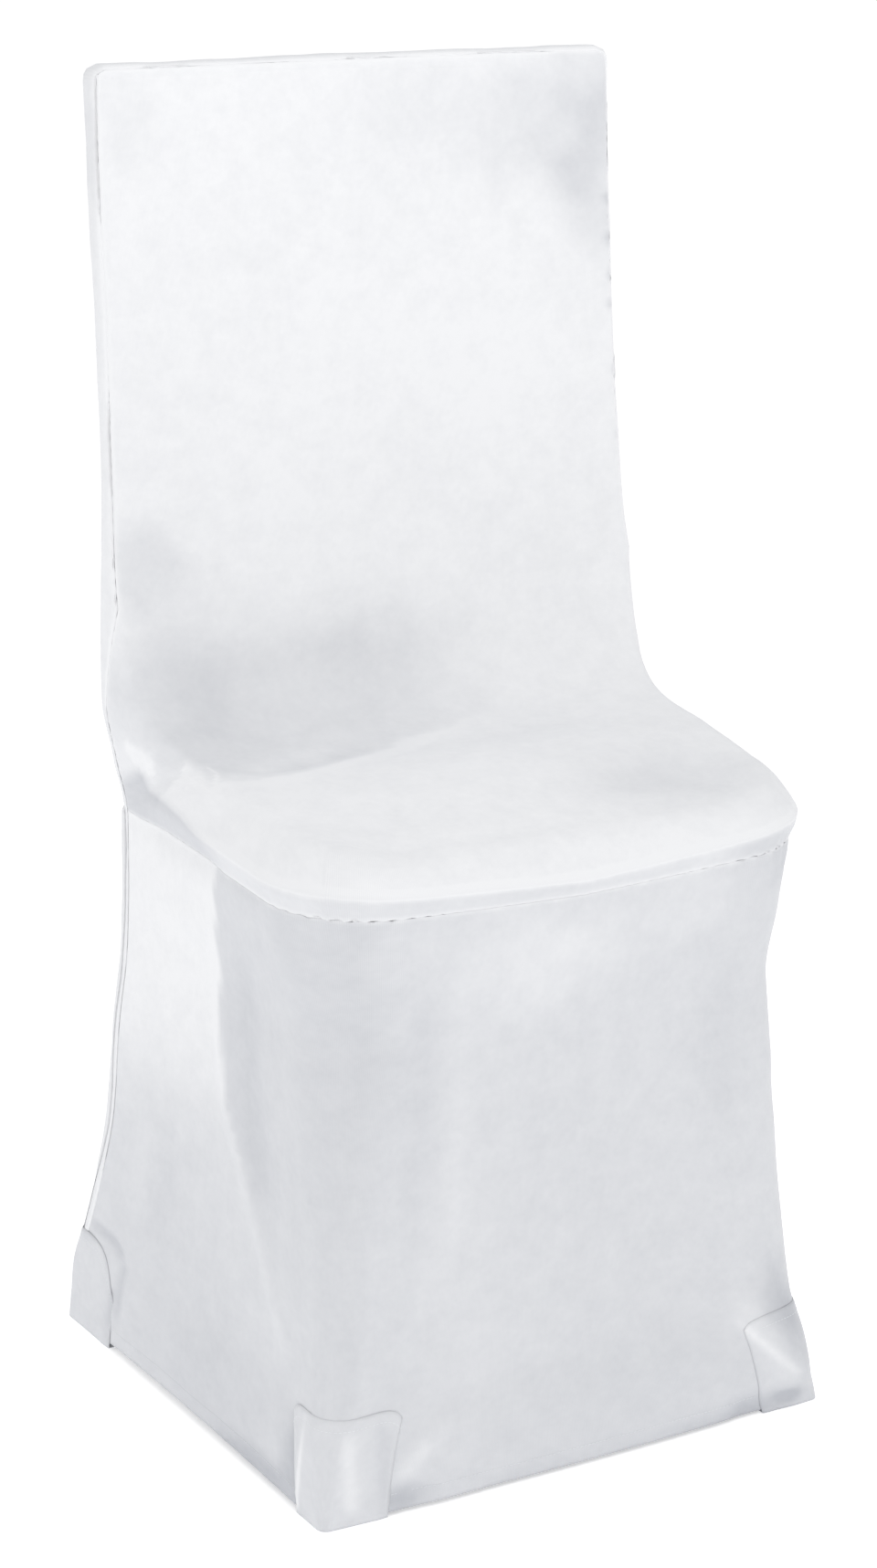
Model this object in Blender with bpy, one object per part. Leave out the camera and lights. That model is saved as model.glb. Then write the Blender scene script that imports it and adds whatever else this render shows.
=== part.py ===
# A fitted stretch cover for a high-backed dining chair, as it hangs on the chair.
# Metres, +Z up, floor at z = 0, the seat's front towards -Y, origin midway between the feet.
# Every panel is a sheet. Its outer face follows the formulas below, and its inner face lies
# one cloth thickness further in. Panels meet edge to edge at their seams.

import math

import bpy
import numpy as np

CLOTH = 0.002            # thickness of the stretch cloth
SEAM_GAP = 0.0004        # what is left open between two panels at a seam
TOP_Z = 1.0115           # top edge of the back
TOP_BOW = 0.001          # how much the top edge rises in its right half
TOP_BOW_LEAN = 1.6       # 1 puts that rise in the middle, more moves it to the right
SLAB_CORNER = 0.011      # radius of the back's top corners, seen from the front
REAR_ROUND = 0.008       # rounding of the back's rear edges and of the rear corners below
FRONT_ROUND = 0.009      # rounding of the back's front edges, where the seam lies
SEAM_TURN = 40.0         # degrees round that front edge at which the seam lies
REAR_WRAP = 0.006        # how far the outside back wraps onto the sides below the seat
SEAM_SLOPE = 0.2         # how much the seat's edge tucks in where it meets the skirt
HEM_CLEAR = 0.0030       # height of the hem at a foot, over the foot pocket's sole
SIDE_ARCH = 0.003        # extra height of the hem midway between two feet, at the sides
END_ARCH = 0.000         # the same at the front and the rear
FRONT_BOW = 0.005        # how far the seat's front edge bows forward in the middle
BOW_FROM = 0.25          # height on the skirt's front at which that bow begins
POCKET_GAP = 0.0008      # what is left open between a foot pocket and the panel under it

# Rear corner line of the cover, from the top of the back to the floor.
REAR_CORNER_COLUMNS = ("height", "half_width", "rear_y")
REAR_CORNER = (
    (1.010, 0.2200, 0.1270),
    (0.930, 0.2210, 0.1235),
    (0.830, 0.2215, 0.1130),
    (0.730, 0.2235, 0.1075),
    (0.660, 0.2260, 0.1040),
    (0.600, 0.2285, 0.1030),
    (0.550, 0.2290, 0.1035),
    (0.500, 0.2200, 0.1065),
    (0.452, 0.2095, 0.1110),
    (0.400, 0.2090, 0.1145),
    (0.340, 0.2085, 0.1230),
    (0.270, 0.2085, 0.1420),
    (0.200, 0.2100, 0.1520),
    (0.140, 0.2125, 0.1725),
    (0.090, 0.2150, 0.1930),
    (0.050, 0.2172, 0.2105),
    (0.000, 0.2185, 0.2195),
)

# Front face of the back, above the hollow where it meets the seat.
FRONT_FACE_COLUMNS = ("height", "front_y")
FRONT_FACE = (
    (1.010, 0.1025),
    (0.930, 0.1000),
    (0.830, 0.0930),
    (0.730, 0.0860),
    (0.660, 0.0795),
    (0.600, 0.0675),
)

# Front of the skirt. side_bow and front_bow are how far the cloth is drawn in midway between
# two corners. At the rear it is drawn in as at the front, but it nowhere bulges out.
SKIRT_FRONT_COLUMNS = ("height", "half_width", "front_y", "radius", "side_bow", "front_bow")
SKIRT_FRONT = (
    (0.447, 0.2155, -0.2130, 0.072, 0.000, 0.000),
    (0.400, 0.2075, -0.2080, 0.064, 0.001, 0.001),
    (0.340, 0.1985, -0.2010, 0.054, 0.003, 0.002),
    (0.270, 0.1990, -0.2025, 0.044, 0.004, 0.003),
    (0.200, 0.2010, -0.2050, 0.037, 0.005, 0.003),
    (0.140, 0.2040, -0.2080, 0.032, 0.005, 0.003),
    (0.090, 0.2085, -0.2120, 0.026, 0.005, 0.002),
    (0.050, 0.2145, -0.2165, 0.016, 0.003, -0.002),
    (0.000, 0.2185, -0.2195, 0.007, 0.001, -0.006),
)

# Edge of the inside back and seat, from the foot of the back to the seat's front corner. The
# crest is where the padded edge starts to turn down, the seam is where the panel ends. turn is
# the direction in which the seam faces, 0 forward and 90 sideways, and reach and lean are how
# far the edge bulges past the crest and past the seam.
BEND_COLUMNS = (
    "row", "crest_half", "crest_y", "crest_z", "seam_y", "seam_z", "turn", "reach", "lean",
)
BEND = (
    (0, 0.2200, 0.0715, 0.620, 0.0735, 0.6200, 40.0, 0.002, 0.000),
    (1, 0.2185, 0.0650, 0.590, 0.0810, 0.5900, 60.0, 0.006, 0.000),
    (2, 0.2160, 0.0570, 0.565, 0.0870, 0.5600, 80.0, 0.010, 0.000),
    (3, 0.2120, 0.0430, 0.545, 0.0905, 0.5310, 90.0, 0.013, 0.000),
    (4, 0.2080, 0.0250, 0.532, 0.0925, 0.5045, 90.0, 0.013, 0.001),
    (5, 0.2040, 0.0050, 0.524, 0.0945, 0.4810, 90.0, 0.013, 0.002),
    (6, 0.2005, -0.0190, 0.519, 0.0970, 0.4590, 90.0, 0.014, 0.004),
    (7, 0.1980, -0.0430, 0.516, 0.0500, 0.4575, 90.0, 0.016, 0.007),
    (8, 0.1965, -0.0670, 0.5135, 0.0050, 0.4560, 90.0, 0.019, 0.010),
    (9, 0.1950, -0.0900, 0.510, -0.0450, 0.4545, 90.0, 0.022, 0.013),
    (10, 0.1945, -0.1110, 0.506, -0.0920, 0.4530, 90.0, 0.024, 0.014),
    (11, 0.1940, -0.1290, 0.501, -0.1390, 0.4510, 90.0, 0.025, 0.015),
)
JUNCTION_ROW = 6         # the row at which seat, outside back and skirt meet
JUNCTION_Z = 0.459
SLAB_REACH = 0.002       # the same reach along the back, above the table
EDGE_HOLD = 0.018        # how long the edge keeps its direction above the seam
EDGE_HOLD_SHARE = 0.45   # the same as the greatest share of the way from crest to seam
CREST_RADIUS = 0.056     # plan radius of the crest at the seat's front corners
CREST_FRONT_Y = -0.185   # the crest along the seat's front
CREST_FRONT_Z = 0.487
SEAM_FRONT_Z = 0.4435
BACK_HEIGHTS = (0.980, 0.930, 0.870, 0.810, 0.750, 0.700, 0.660)

# How far the middle of the inside panel stands proud of a straight line between its edges,
# from the top of the back (place 0) to the seat's front (place 1).
RISE_COLUMNS = ("place", "rise")
RISE = (
    (0.00, 0.0000),
    (0.15, 0.0030),
    (0.35, 0.0040),
    (0.50, -0.0020),
    (0.62, -0.0040),
    (0.75, 0.0030),
    (0.88, 0.0050),
    (1.00, 0.0000),
)

# Soft dents (depth above 0) and swellings (below 0): middle, reach along each axis, depth.
DENT_COLUMNS = ("x", "y", "z", "reach_x", "reach_y", "reach_z", "depth")
DENTS = (
    (-0.090, 0.060, 0.560, 0.120, 0.060, 0.055, 0.0060),
    (0.175, 0.090, 0.940, 0.045, 0.040, 0.050, 0.0035),
    (-0.185, 0.080, 0.680, 0.035, 0.040, 0.045, 0.0025),
    (0.110, -0.080, 0.490, 0.070, 0.050, 0.050, 0.0050),
    (0.150, -0.205, 0.150, 0.030, 0.040, 0.080, -0.0030),
    (-0.120, -0.205, 0.180, 0.020, 0.040, 0.100, 0.0030),
    (-0.188, -0.188, 0.300, 0.027, 0.027, 0.110, 0.0028),
    (-0.020, -0.210, 0.380, 0.070, 0.040, 0.040, -0.0025),
)

DENTS_FROM = 0.09        # height above which the skirt is dented, clear of the foot pockets
DENTS_FADE = 0.05        # height over which those dents come in
BORDER_POINTS = 3        # how many points in from a panel's border the dents reach full depth

# Rows of the skirt, as shares of the way from the seat seam to the hem.
SKIRT_ROWS = (
    0.0, 0.035, 0.09, 0.16, 0.24, 0.33, 0.42, 0.51, 0.60, 0.68, 0.755, 0.82, 0.875, 0.92, 0.96, 1.0,
)
BEND_SPLIT = 2           # stations for each row of BEND
CORNER_STEPS = 6         # stations round a front corner of the seat
FRONT_STEPS = 4          # stations from there to the middle of the front
EDGE_STEPS = 5           # faces across the seat's rolled edge
FRONT_BOW_ROWS = 4       # rows of the seat behind its front corners that follow its front edge

# Foot pockets: how far each reaches from its corner along the side and along the front or the
# rear, and how high it stands.
POCKET_COLUMNS = ("end", "side_reach", "end_reach", "height")
POCKETS = (
    ("front", 0.031, 0.047, 0.079),
    ("rear", 0.072, 0.045, 0.086),
)
POCKET_ENDS_DROP = 0.25  # how much lower a pocket is at its ends, as a share of its height
POCKET_ROWS = (1.0, 0.84, 0.68, 0.52, 0.36, 0.18, 0.0)
POCKET_REACH_STEPS = 4
POCKET_CORNER_STEPS = 4
SOLE_ROWS = (0.5, 1.0)
SOLE_INSET = 0.008       # how far in from the wall the sole begins at the ends of a pocket


def column(table, columns, name, place):
    """Reads one named column of a table at a place along its first column, smoothly."""
    table = sorted(table)
    keys = [row[0] for row in table]
    values = [row[columns.index(name)] for row in table]
    place = min(max(place, keys[0]), keys[-1])
    i = max(k for k in range(len(keys) - 1) if keys[k] <= place)

    def slope(k):
        return (values[k + 1] - values[k]) / (keys[k + 1] - keys[k])

    def tangent(k):
        if k == 0:
            return slope(0)
        if k == len(keys) - 1:
            return slope(k - 1)
        before, after = slope(k - 1), slope(k)
        return 0.0 if before * after <= 0 else 2 * before * after / (before + after)

    step = keys[i + 1] - keys[i]
    t = (place - keys[i]) / step
    return (
        (1 + 2 * t) * (1 - t) ** 2 * values[i]
        + t * (1 - t) ** 2 * step * tangent(i)
        + t * t * (3 - 2 * t) * values[i + 1]
        + t * t * (t - 1) * step * tangent(i + 1)
    )


def rear(name, height):
    return column(REAR_CORNER, REAR_CORNER_COLUMNS, name, height)


def skirt_front(name, height):
    return column(SKIRT_FRONT, SKIRT_FRONT_COLUMNS, name, height)


def bend(name, row):
    return column(BEND, BEND_COLUMNS, name, row)


def unit(vector):
    return np.asarray(vector, float) / np.linalg.norm(vector)


def vector(x, y, z):
    return np.array([x, y, z], float)


def flipped(station):
    """The same station on the right half."""
    return {k: v * (-1, 1, 1) if isinstance(v, np.ndarray) else v for k, v in station.items()}


# Level sections of the cover below the seat.

def side_length(height):
    rear_end = rear("rear_y", height) - REAR_ROUND
    return rear_end - skirt_front("front_y", height) - skirt_front("radius", height)


def section_point(height, segment, share, grow=0.0):
    """A point on the left half of a level section, and its outward direction.

    The segments run from the middle of the rear round the left side to the middle of the front.
    """
    half_rear, rear_y = rear("half_width", height), rear("rear_y", height)
    half_front, front_y = skirt_front("half_width", height), skirt_front("front_y", height)
    radius = skirt_front("radius", height)
    side_bow, front_bow = skirt_front("side_bow", height), skirt_front("front_bow", height)
    if segment == "rear":
        out = vector(0, 1, 0)
        x = -share * (half_rear - REAR_ROUND)
        y = rear_y - max(front_bow, 0.0) * (1 - share ** 2)
    elif segment == "rear_corner":
        angle = math.radians(90 + 90 * share)
        out = vector(math.cos(angle), math.sin(angle), 0)
        x = -(half_rear - REAR_ROUND) + REAR_ROUND * out[0]
        y = rear_y - REAR_ROUND + REAR_ROUND * out[1]
    elif segment == "side":
        out = vector(-1, 0, 0)
        x = -(half_rear + (half_front - half_rear) * share) + side_bow * 4 * share * (1 - share)
        y = rear_y - REAR_ROUND - side_length(height) * share
    elif segment == "front_corner":
        angle = math.radians(180 + 90 * share)
        out = vector(math.cos(angle), math.sin(angle), 0)
        x = -(half_front - radius) + radius * out[0]
        y = front_y + radius + radius * out[1]
    else:
        out = vector(0, -1, 0)
        x = -(half_front - radius) * (1 - share)
        near_seat = min(max((height - BOW_FROM) / (SEAM_FRONT_Z - BOW_FROM), 0.0), 1.0)
        y = front_y + (front_bow - FRONT_BOW * near_seat) * (1 - (1 - share) ** 2)
    return vector(x, y, height) + out * grow, out


def hem_height(segment, share):
    """Height of the hem: lowest at the feet, arched between them."""
    if segment == "side":
        return HEM_CLEAR + SIDE_ARCH * 4 * share * (1 - share)
    if segment == "front":
        return HEM_CLEAR + END_ARCH * (1 - (1 - share) ** 2)
    if segment == "rear":
        return HEM_CLEAR + END_ARCH * (1 - share ** 2)
    return HEM_CLEAR


# Outline of the back, seen from the front.

def top_rise(x):
    """Extra height of the top edge: a slow swell in its right half."""
    half = rear("half_width", TOP_Z)
    share = min(max((x / half + 1) / 2, 0.0), 1.0)
    return TOP_BOW * math.sin(math.pi * share ** TOP_BOW_LEAN)


def slab_station(outline, out, height):
    turn = math.radians(SEAM_TURN)
    front_y = column(FRONT_FACE, FRONT_FACE_COLUMNS, "front_y", height)
    seam_in = FRONT_ROUND * (1 - math.sin(turn))
    crest = outline - out * FRONT_ROUND
    seam = outline - out * seam_in
    seam_y = front_y + FRONT_ROUND * (1 - math.cos(turn))
    return {
        "crest": vector(crest[0], front_y, crest[2]),
        "seam": vector(seam[0], seam_y, seam[2]),
        "outline": outline,
        "out": out,
        "inwards": -out * math.cos(turn) - vector(0, math.sin(turn), 0),
        "normal": out * math.sin(turn) - vector(0, math.cos(turn), 0),
        "reach": SLAB_REACH,
        "lean": 0.0,
        "turn": turn,
        "rear_y": rear("rear_y", height),
    }


def slab_side_stations():
    """Left half: from the middle of the top corner down to the last of the back's heights."""
    half = rear("half_width", TOP_Z)
    stations = []
    for angle in (45.0, 0.0):
        out = vector(-math.cos(math.radians(angle)), 0, math.sin(math.radians(angle)))
        outline = vector(-(half - SLAB_CORNER), 0, TOP_Z - SLAB_CORNER) + SLAB_CORNER * out
        stations.append(slab_station(outline, out, TOP_Z - SLAB_CORNER))
    for height in BACK_HEIGHTS:
        outline = vector(-rear("half_width", height), 0, height)
        stations.append(slab_station(outline, vector(-1, 0, 0), height))
    return stations


def slab_top_stations():
    """From left to right along the straight of the top edge, as many as along the seat's front."""
    half = rear("half_width", TOP_Z) - SLAB_CORNER
    steps = 2 * (CORNER_STEPS // 2 + FRONT_STEPS - 1)
    stations = []
    for step in range(steps + 1):
        x = -half + 2 * half * step / steps
        stations.append(slab_station(vector(x, 0, TOP_Z + top_rise(x)), vector(0, 0, 1), TOP_Z))
    return stations


# Rolled edge between the inside back and seat and its neighbours.

def side_wall_x(y, z):
    """x of the left side wall at a depth and height."""
    if z >= JUNCTION_Z:
        return -rear("half_width", z)
    share = (rear("rear_y", z) - REAR_ROUND - y) / side_length(z)
    return section_point(z, "side", share)[0][0]


def bend_seam(row):
    y, z, turn = bend("seam_y", row), bend("seam_z", row), math.radians(bend("turn", row))
    return vector(side_wall_x(y, z) + FRONT_ROUND * (1 - math.sin(turn)), y, z)


def bend_stations():
    """Left half: from the foot of the back along the seat's side to its front corner."""
    stations = []
    last = BEND[-1][0]
    for step in range(last * BEND_SPLIT + 1):
        row = step / BEND_SPLIT
        turn = math.radians(bend("turn", row))
        wall_normal = vector(-math.sin(turn), -math.cos(turn), 0)
        along = unit(bend_seam(min(row + 0.5, last)) - bend_seam(max(row - 0.5, 0)))
        tuck = min(max((row - JUNCTION_ROW) / 2, 0.0), 1.0) * SEAM_SLOPE
        height = bend("seam_z", row)
        stations.append({
            "crest": vector(-bend("crest_half", row), bend("crest_y", row), bend("crest_z", row)),
            "seam": bend_seam(row),
            "outline": vector(-rear("half_width", height), 0, height),
            "out": vector(-1, 0, 0),
            "inwards": unit(np.cross(wall_normal, along)),
            "normal": unit(wall_normal - vector(0, 0, tuck)),
            "reach": bend("reach", row),
            "lean": bend("lean", row),
            "turn": turn,
            "rear_y": rear("rear_y", height),
            "row": row,
        })
    return stations


def seat_front_stations():
    """Left half: round the seat's front corner, then along the front to its middle."""
    stations = []
    side_end = BEND[-1]
    crest_half = side_end[BEND_COLUMNS.index("crest_half")]
    crest_z = side_end[BEND_COLUMNS.index("crest_z")]
    seam_z = side_end[BEND_COLUMNS.index("seam_z")]
    centre = vector(-crest_half + CREST_RADIUS, CREST_FRONT_Y + CREST_RADIUS, 0)
    for step in range(1, CORNER_STEPS + FRONT_STEPS + 1):
        corner_share = min(step / CORNER_STEPS, 1.0)
        front_share = max(step - CORNER_STEPS, 0) / FRONT_STEPS
        segment, share = ("front", front_share) if front_share > 0 else ("front_corner", corner_share)
        level = seam_z + (SEAM_FRONT_Z - seam_z) * (corner_share + front_share) / 2
        seam, out = section_point(level, segment, share)
        crest = centre + CREST_RADIUS * out
        crest[0] *= 1 - front_share
        crest[1] -= FRONT_BOW * (1 - (1 - front_share) ** 2)
        crest[2] = crest_z + (CREST_FRONT_Z - crest_z) * corner_share
        stations.append({
            "crest": crest,
            "seam": seam,
            "out": out,
            "inwards": vector(0, 0, 1),
            "normal": unit(out - vector(0, 0, SEAM_SLOPE)),
            "reach": side_end[BEND_COLUMNS.index("reach")],
            "lean": side_end[BEND_COLUMNS.index("lean")],
            "segment": segment,
            "share": share,
        })
    return stations


def edge_points(station):
    """Points across the rolled edge, from just past the crest to the seam."""
    crest, seam = station["crest"], station["seam"] + station["inwards"] * SEAM_GAP / 2
    hold = min(np.linalg.norm(seam - crest) * EDGE_HOLD_SHARE, EDGE_HOLD)
    handle_a = crest + station["out"] * station["reach"]
    handle_b = seam + station["inwards"] * hold + station["out"] * station["lean"]
    points = []
    for step in range(1, EDGE_STEPS + 1):
        t = step / EDGE_STEPS
        points.append(
            crest * (1 - t) ** 3
            + handle_a * 3 * t * (1 - t) ** 2
            + handle_b * 3 * t * t * (1 - t)
            + seam * t ** 3
        )
    return points


# Sheets.

class Sheet:
    """Points and faces of one panel's outer face, with given normals along its seams."""

    def __init__(self):
        self.points, self.faces, self.fixed = [], [], {}

    def add(self, point, normal=None):
        self.points.append(np.array(point, float))
        if normal is not None:
            self.fixed[len(self.points) - 1] = normal
        return len(self.points) - 1

    def grid(self, index, turned=False):
        """Faces of a table of point numbers, row by row."""
        for upper, lower in zip(index, index[1:]):
            for j in range(len(upper) - 1):
                face = (upper[j], lower[j], lower[j + 1], upper[j + 1])
                self.faces.append(face[::-1] if turned else face)

    def normals(self):
        points = np.array(self.points)
        normals = np.zeros_like(points)
        for a, b, c, d in self.faces:
            across = np.cross(points[c] - points[a], points[d] - points[b])
            for i in (a, b, c, d):
                normals[i] += across
        normals /= np.linalg.norm(normals, axis=1)[:, None]
        for i, normal in self.fixed.items():
            normals[i] = normal
        return normals

    def make(self, name, colour):
        outer = np.array(self.points)
        return closed_sheet(name, outer, outer - self.normals() * CLOTH, self.faces, colour)


def closed_sheet(name, outer, inner, faces, colour):
    """A closed object between two matching sets of points."""
    count = len(outer)
    edges = {(a, b) for face in faces for a, b in zip(face, face[1:] + face[:1])}
    rim = [(a, b) for a, b in edges if (b, a) not in edges]
    every_face = list(faces)
    every_face += [tuple(i + count for i in face[::-1]) for face in faces]
    every_face += [(b, a, a + count, b + count) for a, b in sorted(rim)]
    mesh = bpy.data.meshes.new(name)
    mesh.from_pydata([tuple(p) for p in outer] + [tuple(p) for p in inner], [], every_face)
    mesh.shade_smooth()
    mesh.set_sharp_from_angle(angle=math.radians(50))
    mesh.materials.append(stretch_cloth(name + "_cloth", colour))
    thing = bpy.data.objects.new(name, mesh)
    bpy.context.scene.collection.objects.link(thing)
    return thing


def stretch_cloth(name, colour):
    material = bpy.data.materials.new(name)
    material.use_nodes = True
    shader = material.node_tree.nodes["Principled BSDF"]
    shader.inputs["Base Color"].default_value = (*colour, 1.0)
    shader.inputs["Roughness"].default_value = 0.55
    shader.inputs["Metallic"].default_value = 0.0
    return material


def push(point, normal, strength):
    """Moves a point by the dents and swellings near it."""
    for row in DENTS:
        dent = dict(zip(DENT_COLUMNS, row))
        middle = vector(dent["x"], dent["y"], dent["z"])
        reach = vector(dent["reach_x"], dent["reach_y"], dent["reach_z"])
        away = (point - middle) / reach
        point = point - normal * dent["depth"] * strength * math.exp(-float(away @ away))
    return point


def border_fade(i, rows, j, columns):
    """0 on the border of a panel's points, 1 a few points in."""
    return min(i, rows - 1 - i, j, columns - 1 - j, BORDER_POINTS) / BORDER_POINTS


# Inside back and seat: one panel from the top of the back to the seat's front.

def inside_panel():
    left = slab_side_stations() + bend_stations()
    arc_start = len(left) - 1
    left += seat_front_stations()
    right = [flipped(station) for station in left]
    corner = arc_start + CORNER_STEPS // 2
    front = left[corner:] + right[corner:-1][::-1]
    top = [left[0]] + slab_top_stations() + [right[0]]
    rows, columns = corner + 1, len(front)
    top_share = np.linspace(0, 1, columns)
    front_x = np.array([station["crest"][0] for station in front])
    front_share = (front_x - front_x[0]) / (front_x[-1] - front_x[0])

    flat = np.zeros((rows, columns, 3))
    bow_start = arc_start - FRONT_BOW_ROWS
    across_front = right[corner]["crest"] - left[corner]["crest"]
    for i in range(rows):
        a, b = left[i]["crest"], right[i]["crest"]
        place = i / (rows - 1)
        pull = max(0.0, (i - bow_start) / (rows - 1 - bow_start)) ** 2
        for j in range(columns):
            share = top_share[j] * (1 - place) + front_share[j] * place
            straight = left[corner]["crest"] + across_front * front_share[j]
            flat[i, j] = a + (b - a) * share + (front[j]["crest"] - straight) * pull
    for j in range(columns):
        flat[0, j] = top[j]["crest"]

    sheet = Sheet()
    index = [[sheet.add(flat[i, j]) for j in range(columns)] for i in range(rows)]
    sheet.grid(index)
    normals = sheet.normals()
    for i in range(1, rows - 1):
        for j in range(1, columns - 1):
            k = index[i][j]
            across = 1 - (2 * j / (columns - 1) - 1) ** 2
            rise = column(RISE, RISE_COLUMNS, "rise", i / (rows - 1)) * across
            risen = flat[i, j] + normals[k] * rise
            sheet.points[k] = push(risen, normals[k], border_fade(i, rows, j, columns))

    loop = [(left[i], index[i][0]) for i in range(corner)]
    loop += [(front[j], index[-1][j]) for j in range(columns)]
    loop += [(right[i], index[i][-1]) for i in range(corner - 1, -1, -1)]
    loop += [(top[j], index[0][j]) for j in range(columns - 2, 0, -1)]
    strips = []
    for station, start in loop:
        points = edge_points(station)
        strip = [start] + [sheet.add(point) for point in points[:-1]]
        strips.append(strip + [sheet.add(points[-1], station["normal"])])
    for a, b in zip(strips, strips[1:] + strips[:1]):
        for k in range(EDGE_STEPS):
            sheet.faces.append((a[k], a[k + 1], b[k + 1], b[k]))
    return sheet


# Outside back: one panel from the front edge of the back's top, over it and down to the floor.

def wall_inset(y, station):
    """How far the back's edge has turned in from its outline at a depth y."""
    centre_y = station["seam"][1] + FRONT_ROUND * math.cos(station["turn"])
    behind = max(centre_y - y, 0.0)
    return FRONT_ROUND - math.sqrt(FRONT_ROUND ** 2 - behind ** 2)


def slab_wall_points(station):
    """Round the rear edge of the back and forward along its thickness to the seam."""
    outline, out, rear_y = station["outline"], station["out"], station["rear_y"]
    points = []
    for angle in (45.0, 90.0):
        turn = math.radians(angle)
        point = outline - out * REAR_ROUND * (1 - math.sin(turn))
        points.append(vector(point[0], rear_y - REAR_ROUND * (1 - math.cos(turn)), point[2]))
    inwards = -out * math.cos(station["turn"]) - vector(0, math.sin(station["turn"]), 0)
    seam = station["seam"] - inwards * SEAM_GAP / 2
    half_way = (rear_y - REAR_ROUND + seam[1]) / 2
    point = outline - out * wall_inset(half_way, station)
    return points + [vector(point[0], half_way, point[2]), seam]


def rear_wall_points(height):
    """The same for a rear corner below the seat, where the panel wraps a little way round."""
    wrap = REAR_WRAP / side_length(height)
    points = [section_point(height, "rear_corner", 0.5)[0]]
    points += [section_point(height, "side", wrap * share)[0] for share in (0.0, 0.5, 1.0)]
    points[-1][1] += SEAM_GAP / 2
    return points


def outside_panel():
    above = slab_side_stations() + [s for s in bend_stations() if s["row"] <= JUNCTION_ROW]
    top = [above[0]] + slab_top_stations() + [flipped(above[0])]
    columns = len(top)
    top_x = np.array([station["outline"][0] for station in top])
    sheet = Sheet()
    index, walls = [], []
    for i, station in enumerate(above):
        inset = station["outline"] - station["out"] * REAR_ROUND
        edge = vector(inset[0], station["rear_y"], inset[2])
        shares = top_x / top_x[-1]
        row = [sheet.add(edge * (-share, 1, 1)) for share in shares]
        index.append(row)
        walls.append((slab_wall_points(station), station["normal"]))
    for j in range(1, columns - 1):
        outline = top[j]["outline"]
        sheet.points[index[0][j]] = vector(outline[0], top[j]["rear_y"], outline[2] - REAR_ROUND)
    for share_down in SKIRT_ROWS[1:]:
        row = []
        for j in range(columns):
            across = -top_x[j] / top_x[-1]
            hem = hem_height("rear", abs(across))
            height = JUNCTION_Z + (hem - JUNCTION_Z) * share_down
            point = section_point(height, "rear", abs(across))[0]
            row.append(sheet.add(vector(-math.copysign(point[0], across), point[1], point[2])))
        index.append(row)
        level = JUNCTION_Z + (HEM_CLEAR - JUNCTION_Z) * share_down
        walls.append((rear_wall_points(level), vector(-1, 0, 0)))
    sheet.grid(index, turned=True)

    loop = [(walls[i], index[i][0], 1) for i in range(len(index) - 1, -1, -1)]
    for j in range(1, columns - 1):
        loop.append(((slab_wall_points(top[j]), top[j]["normal"]), index[0][j], 1))
    loop += [(walls[i], index[i][-1], -1) for i in range(len(index))]
    strips = []
    for (points, normal), start, side in loop:
        strip = [start] + [sheet.add(point * (side, 1, 1)) for point in points[:-1]]
        strips.append(strip + [sheet.add(points[-1] * (side, 1, 1), normal * (side, 1, 1))])
    for a, b in zip(strips, strips[1:]):
        for k in range(len(a) - 1):
            sheet.faces.append((a[k], a[k + 1], b[k + 1], b[k]))
    return sheet


# Skirt: one panel round the left side, the front and the right side.

def skirt_columns():
    """Left half: seam height, segment, share along it and seam normal, from rear to front."""
    columns = []
    for station in bend_stations():
        if station["row"] < JUNCTION_ROW:
            continue
        y, z = station["seam"][1], station["seam"][2]
        share = (rear("rear_y", z) - REAR_ROUND - y) / side_length(z)
        columns.append((z, "side", share, station["normal"]))
    for station in seat_front_stations():
        columns.append((station["seam"][2], station["segment"], station["share"], station["normal"]))
    return columns


def skirt_panel():
    left = skirt_columns()
    first_share = left[0][2]
    sheet = Sheet()
    around = [(entry, 1) for entry in left] + [(entry, -1) for entry in left[:-1][::-1]]
    index = []
    for share_down in SKIRT_ROWS:
        row = []
        for (seam_z, segment, share, normal), side in around:
            hem = hem_height(segment, share)
            height = seam_z - SEAM_GAP / 2 + (hem - seam_z) * share_down
            place = share
            if segment == "side":
                wrap = REAR_WRAP / side_length(height)
                place = wrap + (1 - wrap) * (share - first_share) / (1 - first_share)
            point = section_point(height, segment, place)[0]
            fixed = None
            if segment == "side" and share == first_share:
                point[1] -= SEAM_GAP / 2
                fixed = vector(-1, 0, 0)
            if share_down == 0:
                fixed = normal
            if fixed is not None:
                fixed = fixed * (side, 1, 1)
            row.append(sheet.add(point * (side, 1, 1), fixed))
        index.append(row)
    sheet.grid(index)
    normals = sheet.normals()
    rows, columns = len(index), len(index[0])
    for i in range(1, rows - 1):
        for j in range(1, columns - 1):
            k = index[i][j]
            above_pockets = min(max((sheet.points[k][2] - DENTS_FROM) / DENTS_FADE, 0.0), 1.0)
            strength = border_fade(i, rows, j, columns) * above_pockets
            sheet.points[k] = push(sheet.points[k], normals[k], strength)
    return sheet


# Foot pockets: cups over the corners at the floor, closed below the chair's feet.

def pocket_outline(end, side_reach, end_reach):
    """Segment and share of each column of a pocket, on the left half, from side to end."""
    floor_side = side_length(0.0)
    columns = []
    for step in range(POCKET_REACH_STEPS):
        share = side_reach / floor_side * (1 - step / POCKET_REACH_STEPS)
        columns.append(("side", 1 - share if end == "front" else share))
    for step in range(POCKET_CORNER_STEPS + 1):
        share = step / POCKET_CORNER_STEPS
        columns.append((end + "_corner", share if end == "front" else 1 - share))
    half = rear("half_width", 0.0) if end == "rear" else skirt_front("half_width", 0.0)
    for step in range(1, POCKET_REACH_STEPS + 1):
        share = end_reach / half * step / POCKET_REACH_STEPS
        columns.append((end, share if end == "front" else 1 - share))
    return columns


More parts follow.
